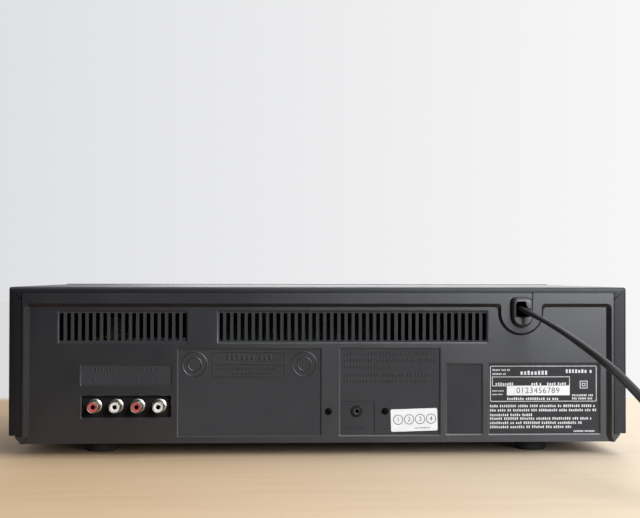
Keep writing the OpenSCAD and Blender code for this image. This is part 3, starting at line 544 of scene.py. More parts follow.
def lead_tie():
    """A strip round the coil's turns that keeps them together."""
    shape = bmesh.new()
    angle = math.radians(TIE_ANGLE)
    out = Vector((math.cos(angle), math.sin(angle), 0))
    side = Vector((-math.sin(angle), math.cos(angle), 0))
    centre = Vector((COIL_AT[0], COIL_AT[1], 0)) + out * (COIL_OUT + COIL_IN) / 2
    half = (COIL_OUT - COIL_IN) / 2 + LEAD_T / 2 + 0.25
    low, high = 0.12, COIL_Z[1] + LEAD_W / 2 + 0.2
    inner = outline(-half, half, low, high, 1.6, 4)
    outer = outline(-half - TIE_T, half + TIE_T, low - 0.1, high + TIE_T, 2.2, 4)

    def ring(points, shift):
        return [centre + out * x + Vector((0, 0, z)) + side * shift for x, z in points]
    loft(shape, [ring(inner, -TIE_HALF_W), ring(outer, -TIE_HALF_W), ring(outer, TIE_HALF_W),
                 ring(inner, TIE_HALF_W), ring(inner, -TIE_HALF_W)], cap=False)
    bmesh.ops.remove_doubles(shape, verts=shape.verts, dist=1e-5)
    return show("lead_tie", shape, "belt_rubber")


place_camera()
lead, lead_path = mains_lead()
plug_pieces = mains_plug()
tie = lead_tie()

# ---- CAD nodes that take a finish as they are ----

KEYS_A = ["rewind_a", "play_a", "forward_a", "stop_a"]
KEYS_B = ["rewind_b", "play_b", "forward_b", "stop_b", "record_b"]


def both(*stems):
    """The nodes of deck A and of deck B."""
    return [stem + side for side in ("_a", "_b") for stem in stems]


# Finish, edge round in millimetres, nodes
COATS = [
    ("chassis_enamel", 0.2, ["chassis_pan"]),
    ("panel_abs", 0.55, ["rear_panel"]),
    ("fascia_satin", 0.6, ["front_fascia"]),
    ("foot_rubber", 0.4, ["feet"]),
    ("jack_phenolic", 0.2, ["jack_block"]),
    ("jack_red", 0.25, ["jack_inserts_red"]),
    ("jack_white", 0.25, ["jack_inserts_white"]),
    ("socket_plastic", 0.2, ["remote_jack"]),
    ("socket_plastic", 0.3, ["headphone_socket"]),
    ("window_acrylic", 0.15, ["display_window"] + both("door_window")),
    ("display_black", 0.2, ["display_module"]),
    ("control_laminate", 0, ["control_board"]),
    ("main_laminate", 0.2, ["main_board"]),
    ("switch_plastic", 0.2, ["panel_switches"]),
    ("core_laminations", 0.5, ["power_transformer"]),
    ("door_abs", 0.3, both("door")),
    # the deck frames are coloured nearly black: painted shade for the case's dark inside seen through the
    # vents
    ("frame_zinc_painted_shade", 0.2, both("deck_frame")),
    ("bracket_zinc", 0.15, ["motor_brackets"]),
    ("motor_can", 0.5, ["drive_motors"]),
    ("belt_rubber", 0, ["drive_belts"]),
    ("turned_brass", 0.2, both("motor_pulley")),
    ("turned_brass", 0.25, both("flywheel")),
    ("reel_acetal", 0.25, both("supply_reel", "take_up_reel")),
    ("head_plate", 0.15, both("head_carriage")),
    ("roller_neoprene", 0.3, both("pinch_roller")),
    ("key_abs", 0.4, ["power_button"] + both("eject_button") + KEYS_A + KEYS_B),
    ("dub_key_abs", 0.4, ["dub_key", "fast_dub_key"]),
]
for finish, edge, nodes in COATS:
    for node in nodes:
        coat(node, finish, edge)


# ---- Back: connectors and fasteners ----


def jack_shells():
    """Deep-drawn plated shells with a rolled mouth, and in each insert its spring contact, coloured dark as
    painted shade in the bore.
    """
    shape = bmesh.new()
    for x in JACK_X:
        turned(shape, x, JACK_Z, [
            (3.3, JACK_FACE - 2), (4.1, JACK_FACE - 2), (4.1, JACK_FACE - 0.05), (4.9, JACK_FACE - 0.05),
            (4.9, JACK_FACE + 0.5), (4.1, JACK_FACE + 0.8), (4.1, 138.6), (4.15, 139.2), (4.15, 140.5),
            (4.0, 140.85), (3.75, JACK_TIP), (3.5, 140.85), (3.32, 140.4), (3.3, JACK_FACE - 2)])
    piece = show("jack_shells_rolled", shape, "nickel_plate")
    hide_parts("jack_shells")
    # each bore's spring contact is coloured nearly black: painted shade deep in the bore
    shape = bmesh.new()
    for x in JACK_X:
        turned(shape, x, JACK_Z, [(0.0, JACK_FACE + 3), (1.55, JACK_FACE + 3), (1.55, 138.6), (1.3, 138.9),
                                  (1.1, 138.7), (1.1, JACK_FACE + 4), (0.0, JACK_FACE + 4)])
    show("jack_centre_contacts", shape, "contact_painted_shade")


PANEL_HEAD_R, SIDE_HEAD_R, HEAD_HIGH = 2.4, 4.0, 1.6
SIDE_SCREWS_Y, SIDE_SCREW_Z = (-70, 100), 28


def screw_head(shape, place, across, up, out, r, high):
    """A pan head with a cross recess, its axis along out."""
    def at(u, v, w):
        return place + across * u + up * v + out * w
    steps, arm, reach = 32, 0.16 * r, 0.62 * r
    cross = []
    for k in range(4):
        a = Vector((math.cos(k * math.pi / 2), math.sin(k * math.pi / 2)))
        b = Vector((-a.y, a.x))
        cross += [a * reach - b * arm, a * reach, a * reach + b * arm]
        cross.append((a + b) * arm)
    dome = [(r, 0), (r, high * 0.35), (r * 0.93, high * 0.7), (r * 0.8, high * 0.92), (r * 0.7, high)]
    rings = [[at(rr * math.cos(math.tau * k / steps), rr * math.sin(math.tau * k / steps), w)
              for k in range(steps)] for rr, w in dome]
    rows = loft(shape, rings, cap=False)
    shape.faces.new(rows[0])
    lip = [shape.verts.new(at(p.x, p.y, high)) for p in cross]
    deep = [shape.verts.new(at(p.x * 0.75, p.y * 0.75, high * 0.35)) for p in cross]
    for k in range(len(lip)):
        shape.faces.new((lip[k - 1], lip[k], deep[k], deep[k - 1]))
    shape.faces.new(deep)
    rim = rows[-1]
    edges = [shape.edges.get((rim[k - 1], rim[k])) for k in range(steps)]
    edges += [shape.edges.get((lip[k - 1], lip[k])) for k in range(len(lip))]
    bmesh.ops.triangle_fill(shape, edges=edges, use_beauty=True)


def screws():
    """Black machine screws: two in the panel, two in each side of the cover."""
    shape = bmesh.new()
    up = Vector((0, 0, 1))
    for x, y in PANEL_SCREWS:
        screw_head(shape, Vector((x, y, SCREW_Z)), Vector((-1, 0, 0)), up, Vector((0, 1, 0)),
                   PANEL_HEAD_R, HEAD_HIGH)
    for side in (-1, 1):
        for y in SIDE_SCREWS_Y:
            screw_head(shape, Vector((side * HALF_W, y, SIDE_SCREW_Z)), Vector((0, side, 0)), up,
                       Vector((side, 0, 0)), SIDE_HEAD_R, HEAD_HIGH)
    piece = show("machine_screws", shape, "screw_black", smooth=30)
    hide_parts("case_screws")


def remote_jack_trim():
    """The jack's threaded collar, and its spring contact just inside the bore."""
    shape = bmesh.new()
    turned(shape, REMOTE_X, SCREW_Z, [(2.0, 131.0), (3.9, 130.85), (3.9, 131.7), (3.6, 132.3), (3.0, 132.5),
                                      (2.3, 132.4), (1.95, 131.9), (1.95, 131.0)])
    show("remote_jack_collar", shape, "jack_phenolic")
    shape = bmesh.new()
    turned(shape, REMOTE_X, SCREW_Z, [(1.45, 122), (1.75, 122), (1.75, 131.2), (1.6, 131.3), (1.45, 131.2),
                                      (1.45, 122)])
    show("remote_jack_contact", shape, "nickel_plate")


# Half outlines of the bush's body and of its mouth's two sides, from top to foot: x from the
# bush's middle, and z
BUSH_HALF = [(0, 111.4), (4.2, 111.4), (5.6, 110.9), (6.7, 109.8), (7.2, 108.3), (7.2, 100.0), (7.0, 97.4),
             (6.2, 94.9), (4.6, 92.9), (2.2, 91.8), (0, 91.2)]
MOUTH_IN = [(0, 109.0), (3.0, 109.0), (4.2, 108.6), (4.8, 107.8), (5.0, 106.8), (5.0, 101.0),
            (5.0, 99.4), (4.9, 98.4), (4.3, 97.8), (2.0, 97.6), (0, 97.6)]
MOUTH_OUT = [(0, 109.0), (1.2, 109.0), (1.9, 108.6), (2.3, 107.8), (2.5, 106.4), (3.4, 105.0),
             (5.3, 103.4), (5.7, 101.0), (5.6, 98.6), (2.0, 97.6), (0, 97.6)]
# The middle height, half width and half height of the bush's body
BUSH_Z, BUSH_HALF_W, BUSH_HALF_H = 101.4, 7.2, 10.2


def bush_ring(inner, outer, y, grow=0.0):
    """A closed ring from an outline's two halves, grown about the bush's middle."""
    whole = list(inner) + [(-x, z) for x, z in outer[-2:0:-1]]
    wider, taller = 1 + grow / BUSH_HALF_W, 1 + grow / BUSH_HALF_H
    return [(BUSH_X + x * wider, y, BUSH_Z + (z - BUSH_Z) * taller) for x, z in whole]


def split_bush():
    """The lead's clamp bush: a body with sloping flanks, an open mouth and a deep throat lined with painted
    shade.
    """
    shape = bmesh.new()
    body, mouth = (BUSH_HALF, BUSH_HALF), (MOUTH_IN, MOUTH_OUT)
    loft(shape, [
        bush_ring(*body, 134.0, 0.6), bush_ring(*body, 135.1, 0.9), bush_ring(*body, 138.6, 0.1),
        bush_ring(*body, 139.5, -0.3), bush_ring(*body, 140.0, -1.1), bush_ring(*mouth, 140.0, 0.2),
        bush_ring(*mouth, 139.4, -0.1), bush_ring(*mouth, 134.0, -0.1), bush_ring(*body, 134.0, 0.6)],
         cap=False)
    bmesh.ops.remove_doubles(shape, verts=shape.verts, dist=1e-4)
    piece = show("split_bush", shape, "bush_nylon", smooth=35)
    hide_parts("cord_bush")
    # the throat's lining is near black: painted shade where the mouth falls into shadow
    shape = bmesh.new()
    loft(shape, [bush_ring(*mouth, 139.2, -0.15), bush_ring(*mouth, 134.0, -0.5),
                 bush_ring(*mouth, 119.0, -0.9)])
    opening = max(shape.faces, key=lambda face: face.calc_center_median().y)
    bmesh.ops.delete(shape, geom=[opening], context="FACES_ONLY")
    show("bush_throat", shape, "throat_shade", smooth=35)


def bush_clamp():
    """The lower clamp half in the bush's mouth, with its seam down the middle."""
    shape = bmesh.new()
    half = [(0.25, 98.0), (5.2, 98.3), (6.3, 97.6), (6.0, 95.6), (4.6, 93.7), (2.6, 92.6), (0.25, 92.2)]
    for side in (1, -1):
        points = [(BUSH_X + side * x, z) for x, z in half][::side]
        plate(shape, points, 139.3, 140.6, 0.8)
    show("bush_clamp", shape, "clamp_nylon")


# The cover's outer fold radius and its sheet; its lower edge, its rear face, and the inner edge
# of the upright flanges
FOLD_R, SHEET = 1.7, 1.0
COVER_LOW, Y_FLANGE, FLANGE_X = 15.6, 134.4, 208.5
EDGE_BREAK, FOLD_STEPS, UPRIGHT_STEPS = 0.25, 5, 3
# The seams of the rear corners: their places in the section, and how deep they end
SEAM, SEAM_DEEP = (6, 13), 0.95
# Angles of the points round an upper fold
ARC = (0, 20, 37, 45, 53, 70, 90)
# Where the fold's corner columns reach the flange's inner edge: the seam runs at 45 degrees
MITRE_Z = (108.8, 109.4, 109.9, 110.4, 110.9, 113.0, 115.3)


def cover_outline(inset):
    """The cover's section from its left lower edge round to its right one."""
    points = []
    x, z = HALF_W - inset, Z_TOP - inset
    r = max(FOLD_R - inset, 0.05)
    for sign in (1, -1):
        arc = [(sign * (x - r + r * math.cos(a)), z - r + r * math.sin(a)) for a in map(math.radians, ARC)]
        upright = [(sign * x, COVER_LOW + (z - r - COVER_LOW) * k / UPRIGHT_STEPS)
                   for k in range(UPRIGHT_STEPS)]
        points += (upright + arc)[::sign]
    return points


def flange_edge():
    """The inner edge of the rear flanges, point for point with the cover's section."""
    points = []
    for sign in (1, -1):
        column = [COVER_LOW + (MITRE_Z[0] - COVER_LOW) * k / UPRIGHT_STEPS for k in range(UPRIGHT_STEPS)]
        points += [(sign * FLANGE_X, z) for z in column + list(MITRE_Z)][::sign]
    return points


def cover_shell():
    """The folded sheet cover: rounded folds, mitred rear flanges with an open seam."""
    def ring(y, points, sink=0.0):
        return [(x, y - (sink if k in SEAM else 0), z) for k, (x, z) in enumerate(points)]
    rings = [ring(Y_COVER, cover_outline(EDGE_BREAK)), ring(Y_COVER + EDGE_BREAK, cover_outline(0)),
             ring(Y_FLANGE - FOLD_R, cover_outline(0))]
    for step in range(1, FOLD_STEPS + 1):
        a = math.pi / 2 * step / FOLD_STEPS
        rings.append(ring(Y_FLANGE - FOLD_R + FOLD_R * math.sin(a),
                          cover_outline(FOLD_R * (1 - math.cos(a))), SEAM_DEEP * step / FOLD_STEPS))
    rings += [ring(Y_FLANGE, flange_edge(), SEAM_DEEP), ring(Y_FLANGE - SHEET, flange_edge()),
              ring(Y_FLANGE - SHEET, cover_outline(SHEET)), ring(Y_COVER, cover_outline(SHEET)),
              ring(Y_COVER, cover_outline(EDGE_BREAK))]
    shape = bmesh.new()
    rows = [[shape.verts.new(p) for p in r] for r in rings]
    for a, b in zip(rows, rows[1:]):
        for k in range(1, len(a)):
            shape.faces.new((a[k - 1], a[k], b[k], b[k - 1]))
    # the lower edges' cut faces
    for end in (0, -1):
        shape.faces.new([r[end] for r in rows[:-1]])
    bmesh.ops.remove_doubles(shape, verts=shape.verts, dist=1e-4)
    piece = show("cover_shell", shape, "cover_enamel", smooth=25)
    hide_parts("top_cover")


cover_shell()
jack_shells()
screws()
remote_jack_trim()
split_bush()
bush_clamp()

# ---- Back: print, label and raised marks ----

# Thickness of printed ink, and the height and sloping flank of a raised mark
INK_T = 0.06
RELIEF_T, RELIEF_SLOPE = 0.32, 0.65
# The frames and marks of the printed rating field: left, right, bottom, top
RATING_FRAME = (-196.4, -120.3, 38.0, 63.3)
RATING_INNER = (-177.2, -121.6, 48.9, 55.7)
NUMBER_STRIP = (-177.1, -132.2, 42.4, 48.9)
CLASS_MARK = (-189.9, -184.4, 47.2, 52.7)
# Rows of dashes: left end, right end, centre height, dash height
RATING_ROWS = [
    (-122.0, -134.8, 60.4, 1.3), (-122.0, -132.0, 57.6, 1.3), (-142.0, -163.2, 58.4, 2.9),
    (-174.4, -194.0, 59.5, 2.6), (-124.2, -136.9, 50.5, 1.9), (-149.7, -157.0, 50.5, 1.9),
    (-161.0, -174.5, 50.5, 1.9), (-121.8, -130.2, 45.6, 0.9), (-121.8, -130.2, 43.1, 0.9),
    (-132.4, -169.7, 40.0, 1.8), (-178.9, -194.4, 42.4, 1.4), (-178.9, -194.4, 40.1, 1.4),
    (-120.2, -196.0, 34.9, 1.75), (-120.2, -196.0, 31.9, 1.75), (-120.2, -151.0, 28.6, 1.75),
    (-120.2, -193.8, 26.0, 1.75), (-120.2, -188.0, 23.0, 1.75), (-120.2, -179.0, 20.1, 1.75),
    (-180.0, -194.8, 17.0, 1.2)]
# Rows of raised dashes in the sunk fields right and left of the middle
NOTE_ROWS = [(-16.4, -77.3, 72.4, 2.6), (-16.4, -82.0, 67.6, 2.6), (-16.4, -50.0, 63.0, 2.6),
             (-16.4, -82.0, 57.2, 2.6), (-16.4, -76.6, 52.9, 2.6),
             (66.0, 34.0, 69.6, 4.0), (72.0, 28.2, 61.9, 2.2), (62.0, 38.0, 58.3, 2.0)]
JACK_ROWS = [(157.6, 143.4, 61.2, 2.6), (126.8, 115.4, 61.2, 2.6)]
# The same on the deeper step under the remote jack
STEP_ROWS = [(-18.0, -33.6, 19.9, 2.2)]
# A small raised square above each pin jack, and the bar across the framed field
JACK_MARKS_X, JACK_MARKS_Z, JACK_MARK_HALF = (158.0, 143.6, 128.2, 113.8), (53.6, 55.6), 0.8
FRAME_BAR = (24.4, 75.7, 64.3, 65.4)
LABEL_BOX, LABEL_T, LABEL_TILT = (-82.7, -49.7, 17.4, 33.2), 0.12, math.radians(1.6)
# The label's rings: the first one's middle, the step to the next, radius
LABEL_RING, LABEL_STEP, LABEL_RING_R = (-54.9, 25.8), 7.75, 3.55
LABEL_ROWS = [(-66.4, -77.6, 19.6, 0.8)]
# The framed field and the plain rings among the raised marks
RAISED_FRAME = (24.2, 75.9, 55.5, 74.0)
RAISED_RINGS_X, RAISED_RINGS_Z, RAISED_RINGS_R = (88.4, 11.4), 64.8, (9.2, 5.4)
# The panel's sunk fields and vents: left, right, bottom, top
SUNK_FIELDS = [(93.5, 183.2, 79.7, 102.3), (-118.4, 72.3, 79.8, 102.3), (104.3, 167.6, 50.2, 64.8),
               (104.5, 167.3, 27.3, 43.3), (-0.4, 100.1, 14.5, 75.8), (-84.6, -13.5, 14.5, 75.9),
               (-114.7, -88.9, 15.0, 64.8), (-198.7, -119.1, 15.0, 65.1)]
# A field's sloping lip in section: how far outside the field's edge, and how far above the face
LIP = ((0.65, -LET_IN), (0.5, 0.08), (-0.35, -0.12), (-0.5, -0.62), (0.1, -0.62))


def field_lips():
    """The fine sloping lip round each sunk field of the panel."""
    shape = bmesh.new()
    for x0, x1, z0, z1 in SUNK_FIELDS:
        rings = [[(x, Y_FIELD + up, z) for x, z in outline(x0 - g, x1 + g, z0 - g, z1 + g, 0.6 + g, 3)]
                 for g, up in LIP]
        loft(shape, rings + rings[:1], cap=False)
    bmesh.ops.remove_doubles(shape, verts=shape.verts, dist=1e-5)
    show("panel_field_lips", shape, "panel_abs", smooth=20)


def bars(shape, boxes, y, thick, r=0.0):
    """Flat marks on a face that looks to +Y."""
    for x0, x1, z0, z1 in boxes:
        plate(shape, outline(x0, x1, z0, z1, r, 2), y - LET_IN, y + thick)


def raised(shape, boxes, y, high, slope):
    """Marks that stand up from a face that looks to +Y, with sloping flanks."""
    for x0, x1, z0, z1 in boxes:
        e = min(slope, 0.42 * (x1 - x0), 0.42 * (z1 - z0))
        loft(shape, [[(x, y - LET_IN, z) for x, z in outline(x0, x1, z0, z1)],
                     [(x, y + high, z) for x, z in outline(x0 + e, x1 - e, z0 + e, z1 - e)]])


def dashes(rows, rng):
    """Words made of short dashes, with no lettering: boxes along each row."""
    boxes = []
    for left, right, z, high in rows:
        x, word = left, rng.randint(3, 9)
        wide = 0.52 * high
        while x - wide >= right - 0.01:
            tall = high * rng.choice((1.0, 1.0, 0.82))
            boxes.append((x - wide, x, z - high / 2, z - high / 2 + tall))
            word -= 1
            x -= wide + 0.34 * high
            if word == 0:
                x -= 0.55 * high
                word = rng.randint(2, 9)
    return boxes


def frame_band(shape, box, width, y, thick, r=0.0):
    """A thin frame round a box, on a face that looks to +Y."""
    x0, x1, z0, z1 = box
    band(shape, outline(x0, x1, z0, z1, r + 0.01, 3),
         outline(x0 + width, x1 - width, z0 + width, z1 - width, max(r - width, 0) + 0.01, 3),
         y - LET_IN, y + thick)


def ring_mark(shape, x, z, r, width, y, thick, steps=40):
    """A thin flat ring on a face that looks to +Y."""
    band(shape, circle(x, z, r, steps), circle(x, z, r - width, steps), y - LET_IN, y + thick)


def ridge(shape, outer, crest, inner, y, high):
    """A closed ridge with sloping flanks, through three outlines with the same number of points."""
    rings = [[(x, y + up, z) for x, z in points]
             for points, up in ((outer, -LET_IN), (crest, high), (inner, -LET_IN))]
    loft(shape, rings + rings[:1], cap=False)
    bmesh.ops.remove_doubles(shape, verts=shape.verts, dist=1e-5)


def figures(name, text, size, middle, y, finish, back=True, gap=1.0):
    """Plain figures laid on a face that looks to +Y, or to -Y on the front."""
    data = bpy.data.curves.new(name, "FONT")
    data.body, data.size, data.extrude = text, size * MM, LET_IN * MM
    data.align_x = data.align_y = "CENTER"
    data.space_character = gap
    data.resolution_u = 3
    carrier = bpy.data.objects.new(name + "_line", data)
    bpy.context.collection.objects.link(carrier)
    mesh = bpy.data.meshes.new_from_object(carrier.evaluated_get(bpy.context.evaluated_depsgraph_get()))
    bpy.data.objects.remove(carrier)
    bpy.data.curves.remove(data)
    side = -1 if back else 1
    mesh.transform(Matrix(((side, 0, 0, middle[0] * MM), (0, 0, -side, y * MM),
                           (0, 1, 0, middle[1] * MM), (0, 0, 0, 1))))
    mesh.name = name
    mesh.materials.clear()
    mesh.materials.append(finishes[finish])
    piece = bpy.data.objects.new(name, mesh)
    bpy.context.collection.objects.link(piece)
    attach(piece, "case")


def rating_print():
    """The printed field: frames, rows of dashes, a bare number strip and plain figures."""
    rng = random.Random(7)
    shape = bmesh.new()
    frame_band(shape, RATING_FRAME, 0.42, Y_SUNK, INK_T, 0.8)
    frame_band(shape, RATING_INNER, 0.42, Y_SUNK, INK_T)
    x0, x1, z0, z1 = CLASS_MARK
    for inset in (0, 1.5):
        frame_band(shape, (x0 + inset, x1 - inset, z0 + inset, z1 - inset), 0.5, Y_SUNK, INK_T)
    bars(shape, dashes(RATING_ROWS, rng), Y_SUNK, INK_T)
    show("rating_print", shape, "print_ink")
    shape = bmesh.new()
    bars(shape, [NUMBER_STRIP], Y_SUNK, INK_T, 0.2)
    show("number_strip", shape, "label_paper")
    figures("number_figures", "0123456789", 5.8, (-154.4, 45.7), Y_SUNK + INK_T + LET_IN,
            "label_ink", gap=1.08)


def label():
    """A small white label with four numbered rings, stuck on a little askew."""
    x0, x1, z0, z1 = LABEL_BOX
    middle = Vector(((x0 + x1) / 2, Y_SUNK, (z0 + z1) / 2))
    turn = Matrix.Rotation(LABEL_TILT, 3, "Y")
    sheet, marks = bmesh.new(), bmesh.new()
    top = Y_SUNK + LABEL_T
    plate(sheet, outline(x0, x1, z0, z1, 1.1, 4), Y_SUNK - LET_IN, top)
    spots = [Vector((LABEL_RING[0] - LABEL_STEP * k, top, LABEL_RING[1])) for k in range(4)]
    for spot in spots:
        ring_mark(marks, spot.x, spot.z, LABEL_RING_R, 0.5, top, INK_T / 2)
    bars(marks, dashes(LABEL_ROWS, random.Random(3)), top, INK_T / 2)
    for shape in (sheet, marks):
        bmesh.ops.rotate(shape, cent=middle, matrix=turn, verts=shape.verts)
    show("label_sheet", sheet, "label_paper")
    show("label_rings", marks, "label_ink")
    for k, spot in enumerate(spots):
        at = middle + turn @ (spot - middle)
        figures(f"label_figure_{k + 1}", str(k + 1), 4.6, (at.x, at.z), top + LET_IN,
                "label_ink")


def raised_marks():
    """Marks moulded with the panel: dashes, a framed field, two plain rings."""
    rng = random.Random(11)
    shape = bmesh.new()
    marks = dashes(NOTE_ROWS, rng) + dashes(JACK_ROWS, rng)
    marks += [(x - JACK_MARK_HALF, x + JACK_MARK_HALF, *JACK_MARKS_Z) for x in JACK_MARKS_X]
    marks.append(FRAME_BAR)
    raised(shape, marks, Y_SUNK, RELIEF_T, RELIEF_SLOPE)
    raised(shape, dashes(STEP_ROWS, rng), Y_STEP, RELIEF_T, RELIEF_SLOPE)
    x0, x1, z0, z1 = RAISED_FRAME
    ridge(shape, *[outline(x0 + g, x1 - g, z0 + g, z1 - g) for g in (0.0, 0.6, 1.2)], Y_SUNK, RELIEF_T)
    for x in RAISED_RINGS_X:
        for r in RAISED_RINGS_R:
            rings = [circle(x, RAISED_RINGS_Z, r - g, 48) for g in (0.0, 0.65, 1.3)]
            ridge(shape, *rings, Y_SUNK, RELIEF_T)
    show("panel_raised_marks", shape, "panel_abs", smooth=10)


field_lips()
rating_print()
label()
raised_marks()

# ---- Front: legends, knobs, display and door trims ----

# Middles and faces of the keys, buttons, knobs and socket
KEY_Z, KEY_FACE = 24.0, Y_FRONT - 2.5
KEYS_A_X = [-DECK_X + (i - 1.5) * 28.0 for i in range(4)]
KEYS_B_X = [DECK_X + (i - 2) * 23.0 for i in range(5)]
DUB_X = (8.0, 38.0)
EJECT_X, EJECT_Z = 71.5, 97.0
POWER_X, POWER_Z = -50.0, 64.0
LEVEL_X, LEVEL_Z, LEVEL_R = 38.0, 58.0, 17.0
PHONES_X, PHONES_R, Y_PHONES, SOCKET_X = -34.0, 6.5, Y_FRONT - 9.0, -60.0


def front_mark(shape, points, y, thick=INK_T):
    """A flat mark on a face that looks to -Y."""
    plate(shape, points, y + LET_IN, y - thick)


def arrow(x, z, size, way):
    """A triangle that points to one side."""
    return [(x - way * size * 0.45, z - size / 2), (x - way * size * 0.45, z + size / 2),
            (x + way * size * 0.45, z)][::way]


def pictogram(kind, x, z):
    """The shapes of one key's plain sign."""
    if kind in ("rewind", "forward"):
        way = -1 if kind == "rewind" else 1
        return [arrow(x - 1.9, z, 4.0, way), arrow(x + 1.9, z, 4.0, way)]
    if kind == "play":
        return [arrow(x, z, 4.6, 1)]
    if kind == "stop":
        return [outline(x - 1.9, x + 1.9, z - 1.9, z + 1.9)]
    if kind == "record":
        return [circle(x, z, 2.1, 24)]
    if kind == "eject":
        return [[(x - 2.2, z - 0.3), (x + 2.2, z - 0.3), (x, z + 2.1)],
                outline(x - 2.2, x + 2.2, z - 1.8, z - 0.9)]
    # a single or a double bar for the two dubbing speeds
    steps = (-0.8, 0.8) if kind == "fast" else (0,)
    return [outline(x + k - 0.35, x + k + 0.35, z - 1.8, z + 1.8) for k in steps]


def key_signs():
    """Printed signs that ride with their keys."""
    signs = [(k, k[:-2], x, KEY_Z) for k, x in zip(KEYS_A + KEYS_B, KEYS_A_X + KEYS_B_X)]
    signs += [("dub_key", "slow", DUB_X[0], KEY_Z), ("fast_dub_key", "fast", DUB_X[1], KEY_Z),
              ("eject_button_a", "eject", -EJECT_X, EJECT_Z), ("eject_button_b", "eject", EJECT_X, EJECT_Z)]
    for key, kind, x, z in signs:
        shape = bmesh.new()
        for points in pictogram(kind, x, z):
            front_mark(shape, points, KEY_FACE)
        show("sign_" + key, shape, "red_print" if kind == "record" else "key_print", key)
    shape = bmesh.new()
    band(shape, circle(POWER_X, POWER_Z, 2.4), circle(POWER_X, POWER_Z, 1.9), KEY_FACE - INK_T,
         KEY_FACE + LET_IN)
    front_mark(shape, outline(POWER_X - 0.25, POWER_X + 0.25, POWER_Z - 1.0, POWER_Z + 1.0), KEY_FACE)
    show("sign_power", shape, "key_print", "power_button")


KNOB_BACK, SHAFT_R, SHAFT_END = Y_FRONT - 1.2, 3.0, -117.6


def fluted_knob(node, x, z, r, front, flutes):
    """A knob with a fluted skirt, a plain dished cap and a line down its front."""
    shape = bmesh.new()

    def ring(radius, y, depth):
        steps = flutes * 4
        wave = [radius - depth * (0.5 - 0.5 * math.cos(math.tau * k / 4)) for k in range(steps)]
        return [(x + w * math.cos(math.tau * k / steps), y, z + w * math.sin(math.tau * k / steps))
                for k, w in enumerate(wave)]
    loft(shape, [ring(r - 0.5, KNOB_BACK, 0), ring(r, KNOB_BACK - 0.4, 0.5), ring(r, front + 2.2, 0.5),
                 ring(r - 0.35, front + 1.6, 0), ring(r - 0.7, front + 0.4, 0), ring(r - 1.1, front, 0),
                 ring(r - 1.9, front, 0), ring(r - 2.3, front + 0.35, 0), ring(r * 0.3, front + 0.5, 0)])
    turned(shape, x, z, [(SHAFT_R, KNOB_BACK - 0.1), (SHAFT_R, SHAFT_END)], 24)
    piece = show(node + "_fluted", shape, "knob_abs", node, smooth=30)
    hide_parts(node)
    shape = bmesh.new()
    front_mark(shape, outline(x - 0.5, x + 0.5, z + r * 0.45, z + r - 2.4), front + 0.34, 0.12)
    show(node + "_line", shape, "key_print", node)


# The scale runs clockwise in eleven steps; radii of a tick's ends, long or short, and of the figures
SCALE_FROM, SCALE_STEP, TICK_IN, TICK_OUT, FIGURE_R = 240, 30, 19.0, (21.2, 20.4), 23.4


def level_scale():
    """Ticks and plain figures round the record level knob."""
    shape = bmesh.new()
    middle = Vector((LEVEL_X, LEVEL_Z))
    for k in range(11):
        a = math.radians(SCALE_FROM - SCALE_STEP * k)
        out = Vector((math.cos(a), math.sin(a)))
        side = Vector((-math.sin(a), math.cos(a))) * 0.22
        near, far = middle + out * TICK_IN, middle + out * TICK_OUT[0 if k % 5 == 0 else 1]
        front_mark(shape, [tuple(p) for p in (near - side, far - side, far + side, near + side)], Y_FRONT)
        figures(f"level_figure_{k}", str(k), 2.8, tuple(middle + out * FIGURE_R), Y_FRONT - INK_T,
                "key_print", back=False)
    show("level_ticks", shape, "key_print")


# Rows of dashes on the fascia: left end, right end, centre height, dash height
FASCIA_ROWS = [(-196, -180, 35.4, 1.5), (-168, -156, 35.4, 1.5), (88, 104, 35.4, 1.5),
               (178, 192, 35.4, 1.5), (1, 17, 31.6, 1.3), (30, 46, 31.6, 1.3), (-57, -43, 56.2, 1.3),
               (-66, -54, 36.6, 1.3), (-40, -28, 33.2, 1.3), (32, 44, 36.0, 1.3),
               (-77.5, -65.5, 90.2, 1.2), (65.5, 77.5, 90.2, 1.2), (-58, -30, 81.0, 1.6)]


GROUP_LINES, GROUP_LINE_Z = ((-204, -80), (80, 204), (-8, 54)), (15.2, 15.5)


def fascia_print():
    """Rows of dashes by the keys, and fine lines that group them."""
    rng = random.Random(5)
    shape = bmesh.new()
    for left, right, z, high in FASCIA_ROWS:
        for x0, x1, z0, z1 in dashes([(right, left, z, high)], rng):
            front_mark(shape, outline(x0, x1, z0, z1), Y_FRONT)
    show("fascia_dashes", shape, "key_print")
    shape = bmesh.new()
    for x0, x1 in GROUP_LINES:
        front_mark(shape, outline(x0, x1, *GROUP_LINE_Z), Y_FRONT)
    show("fascia_lines", shape, "scale_grey")


Y_DISPLAY, SEGMENT_T = -121.42, 0.04
# Level bars: the rows' heights, the first bar's left end, the pitch, how many, and the last teal one
BAR_ROWS, BAR_X, BAR_PITCH, BARS, LAST_TEAL = (92.6, 96.0), -29.0, 2.7, 22, 17
# A bar's width and half its height, and a tick's start along its bar, width, foot and top
BAR_W, BAR_HALF_H = 1.9, 0.9
TICK_X, TICK_W, TICK_Z = 0.7, 0.5, (89.9, 90.7)
COUNTER_X, COUNTER_Z = 43.0, 101.2


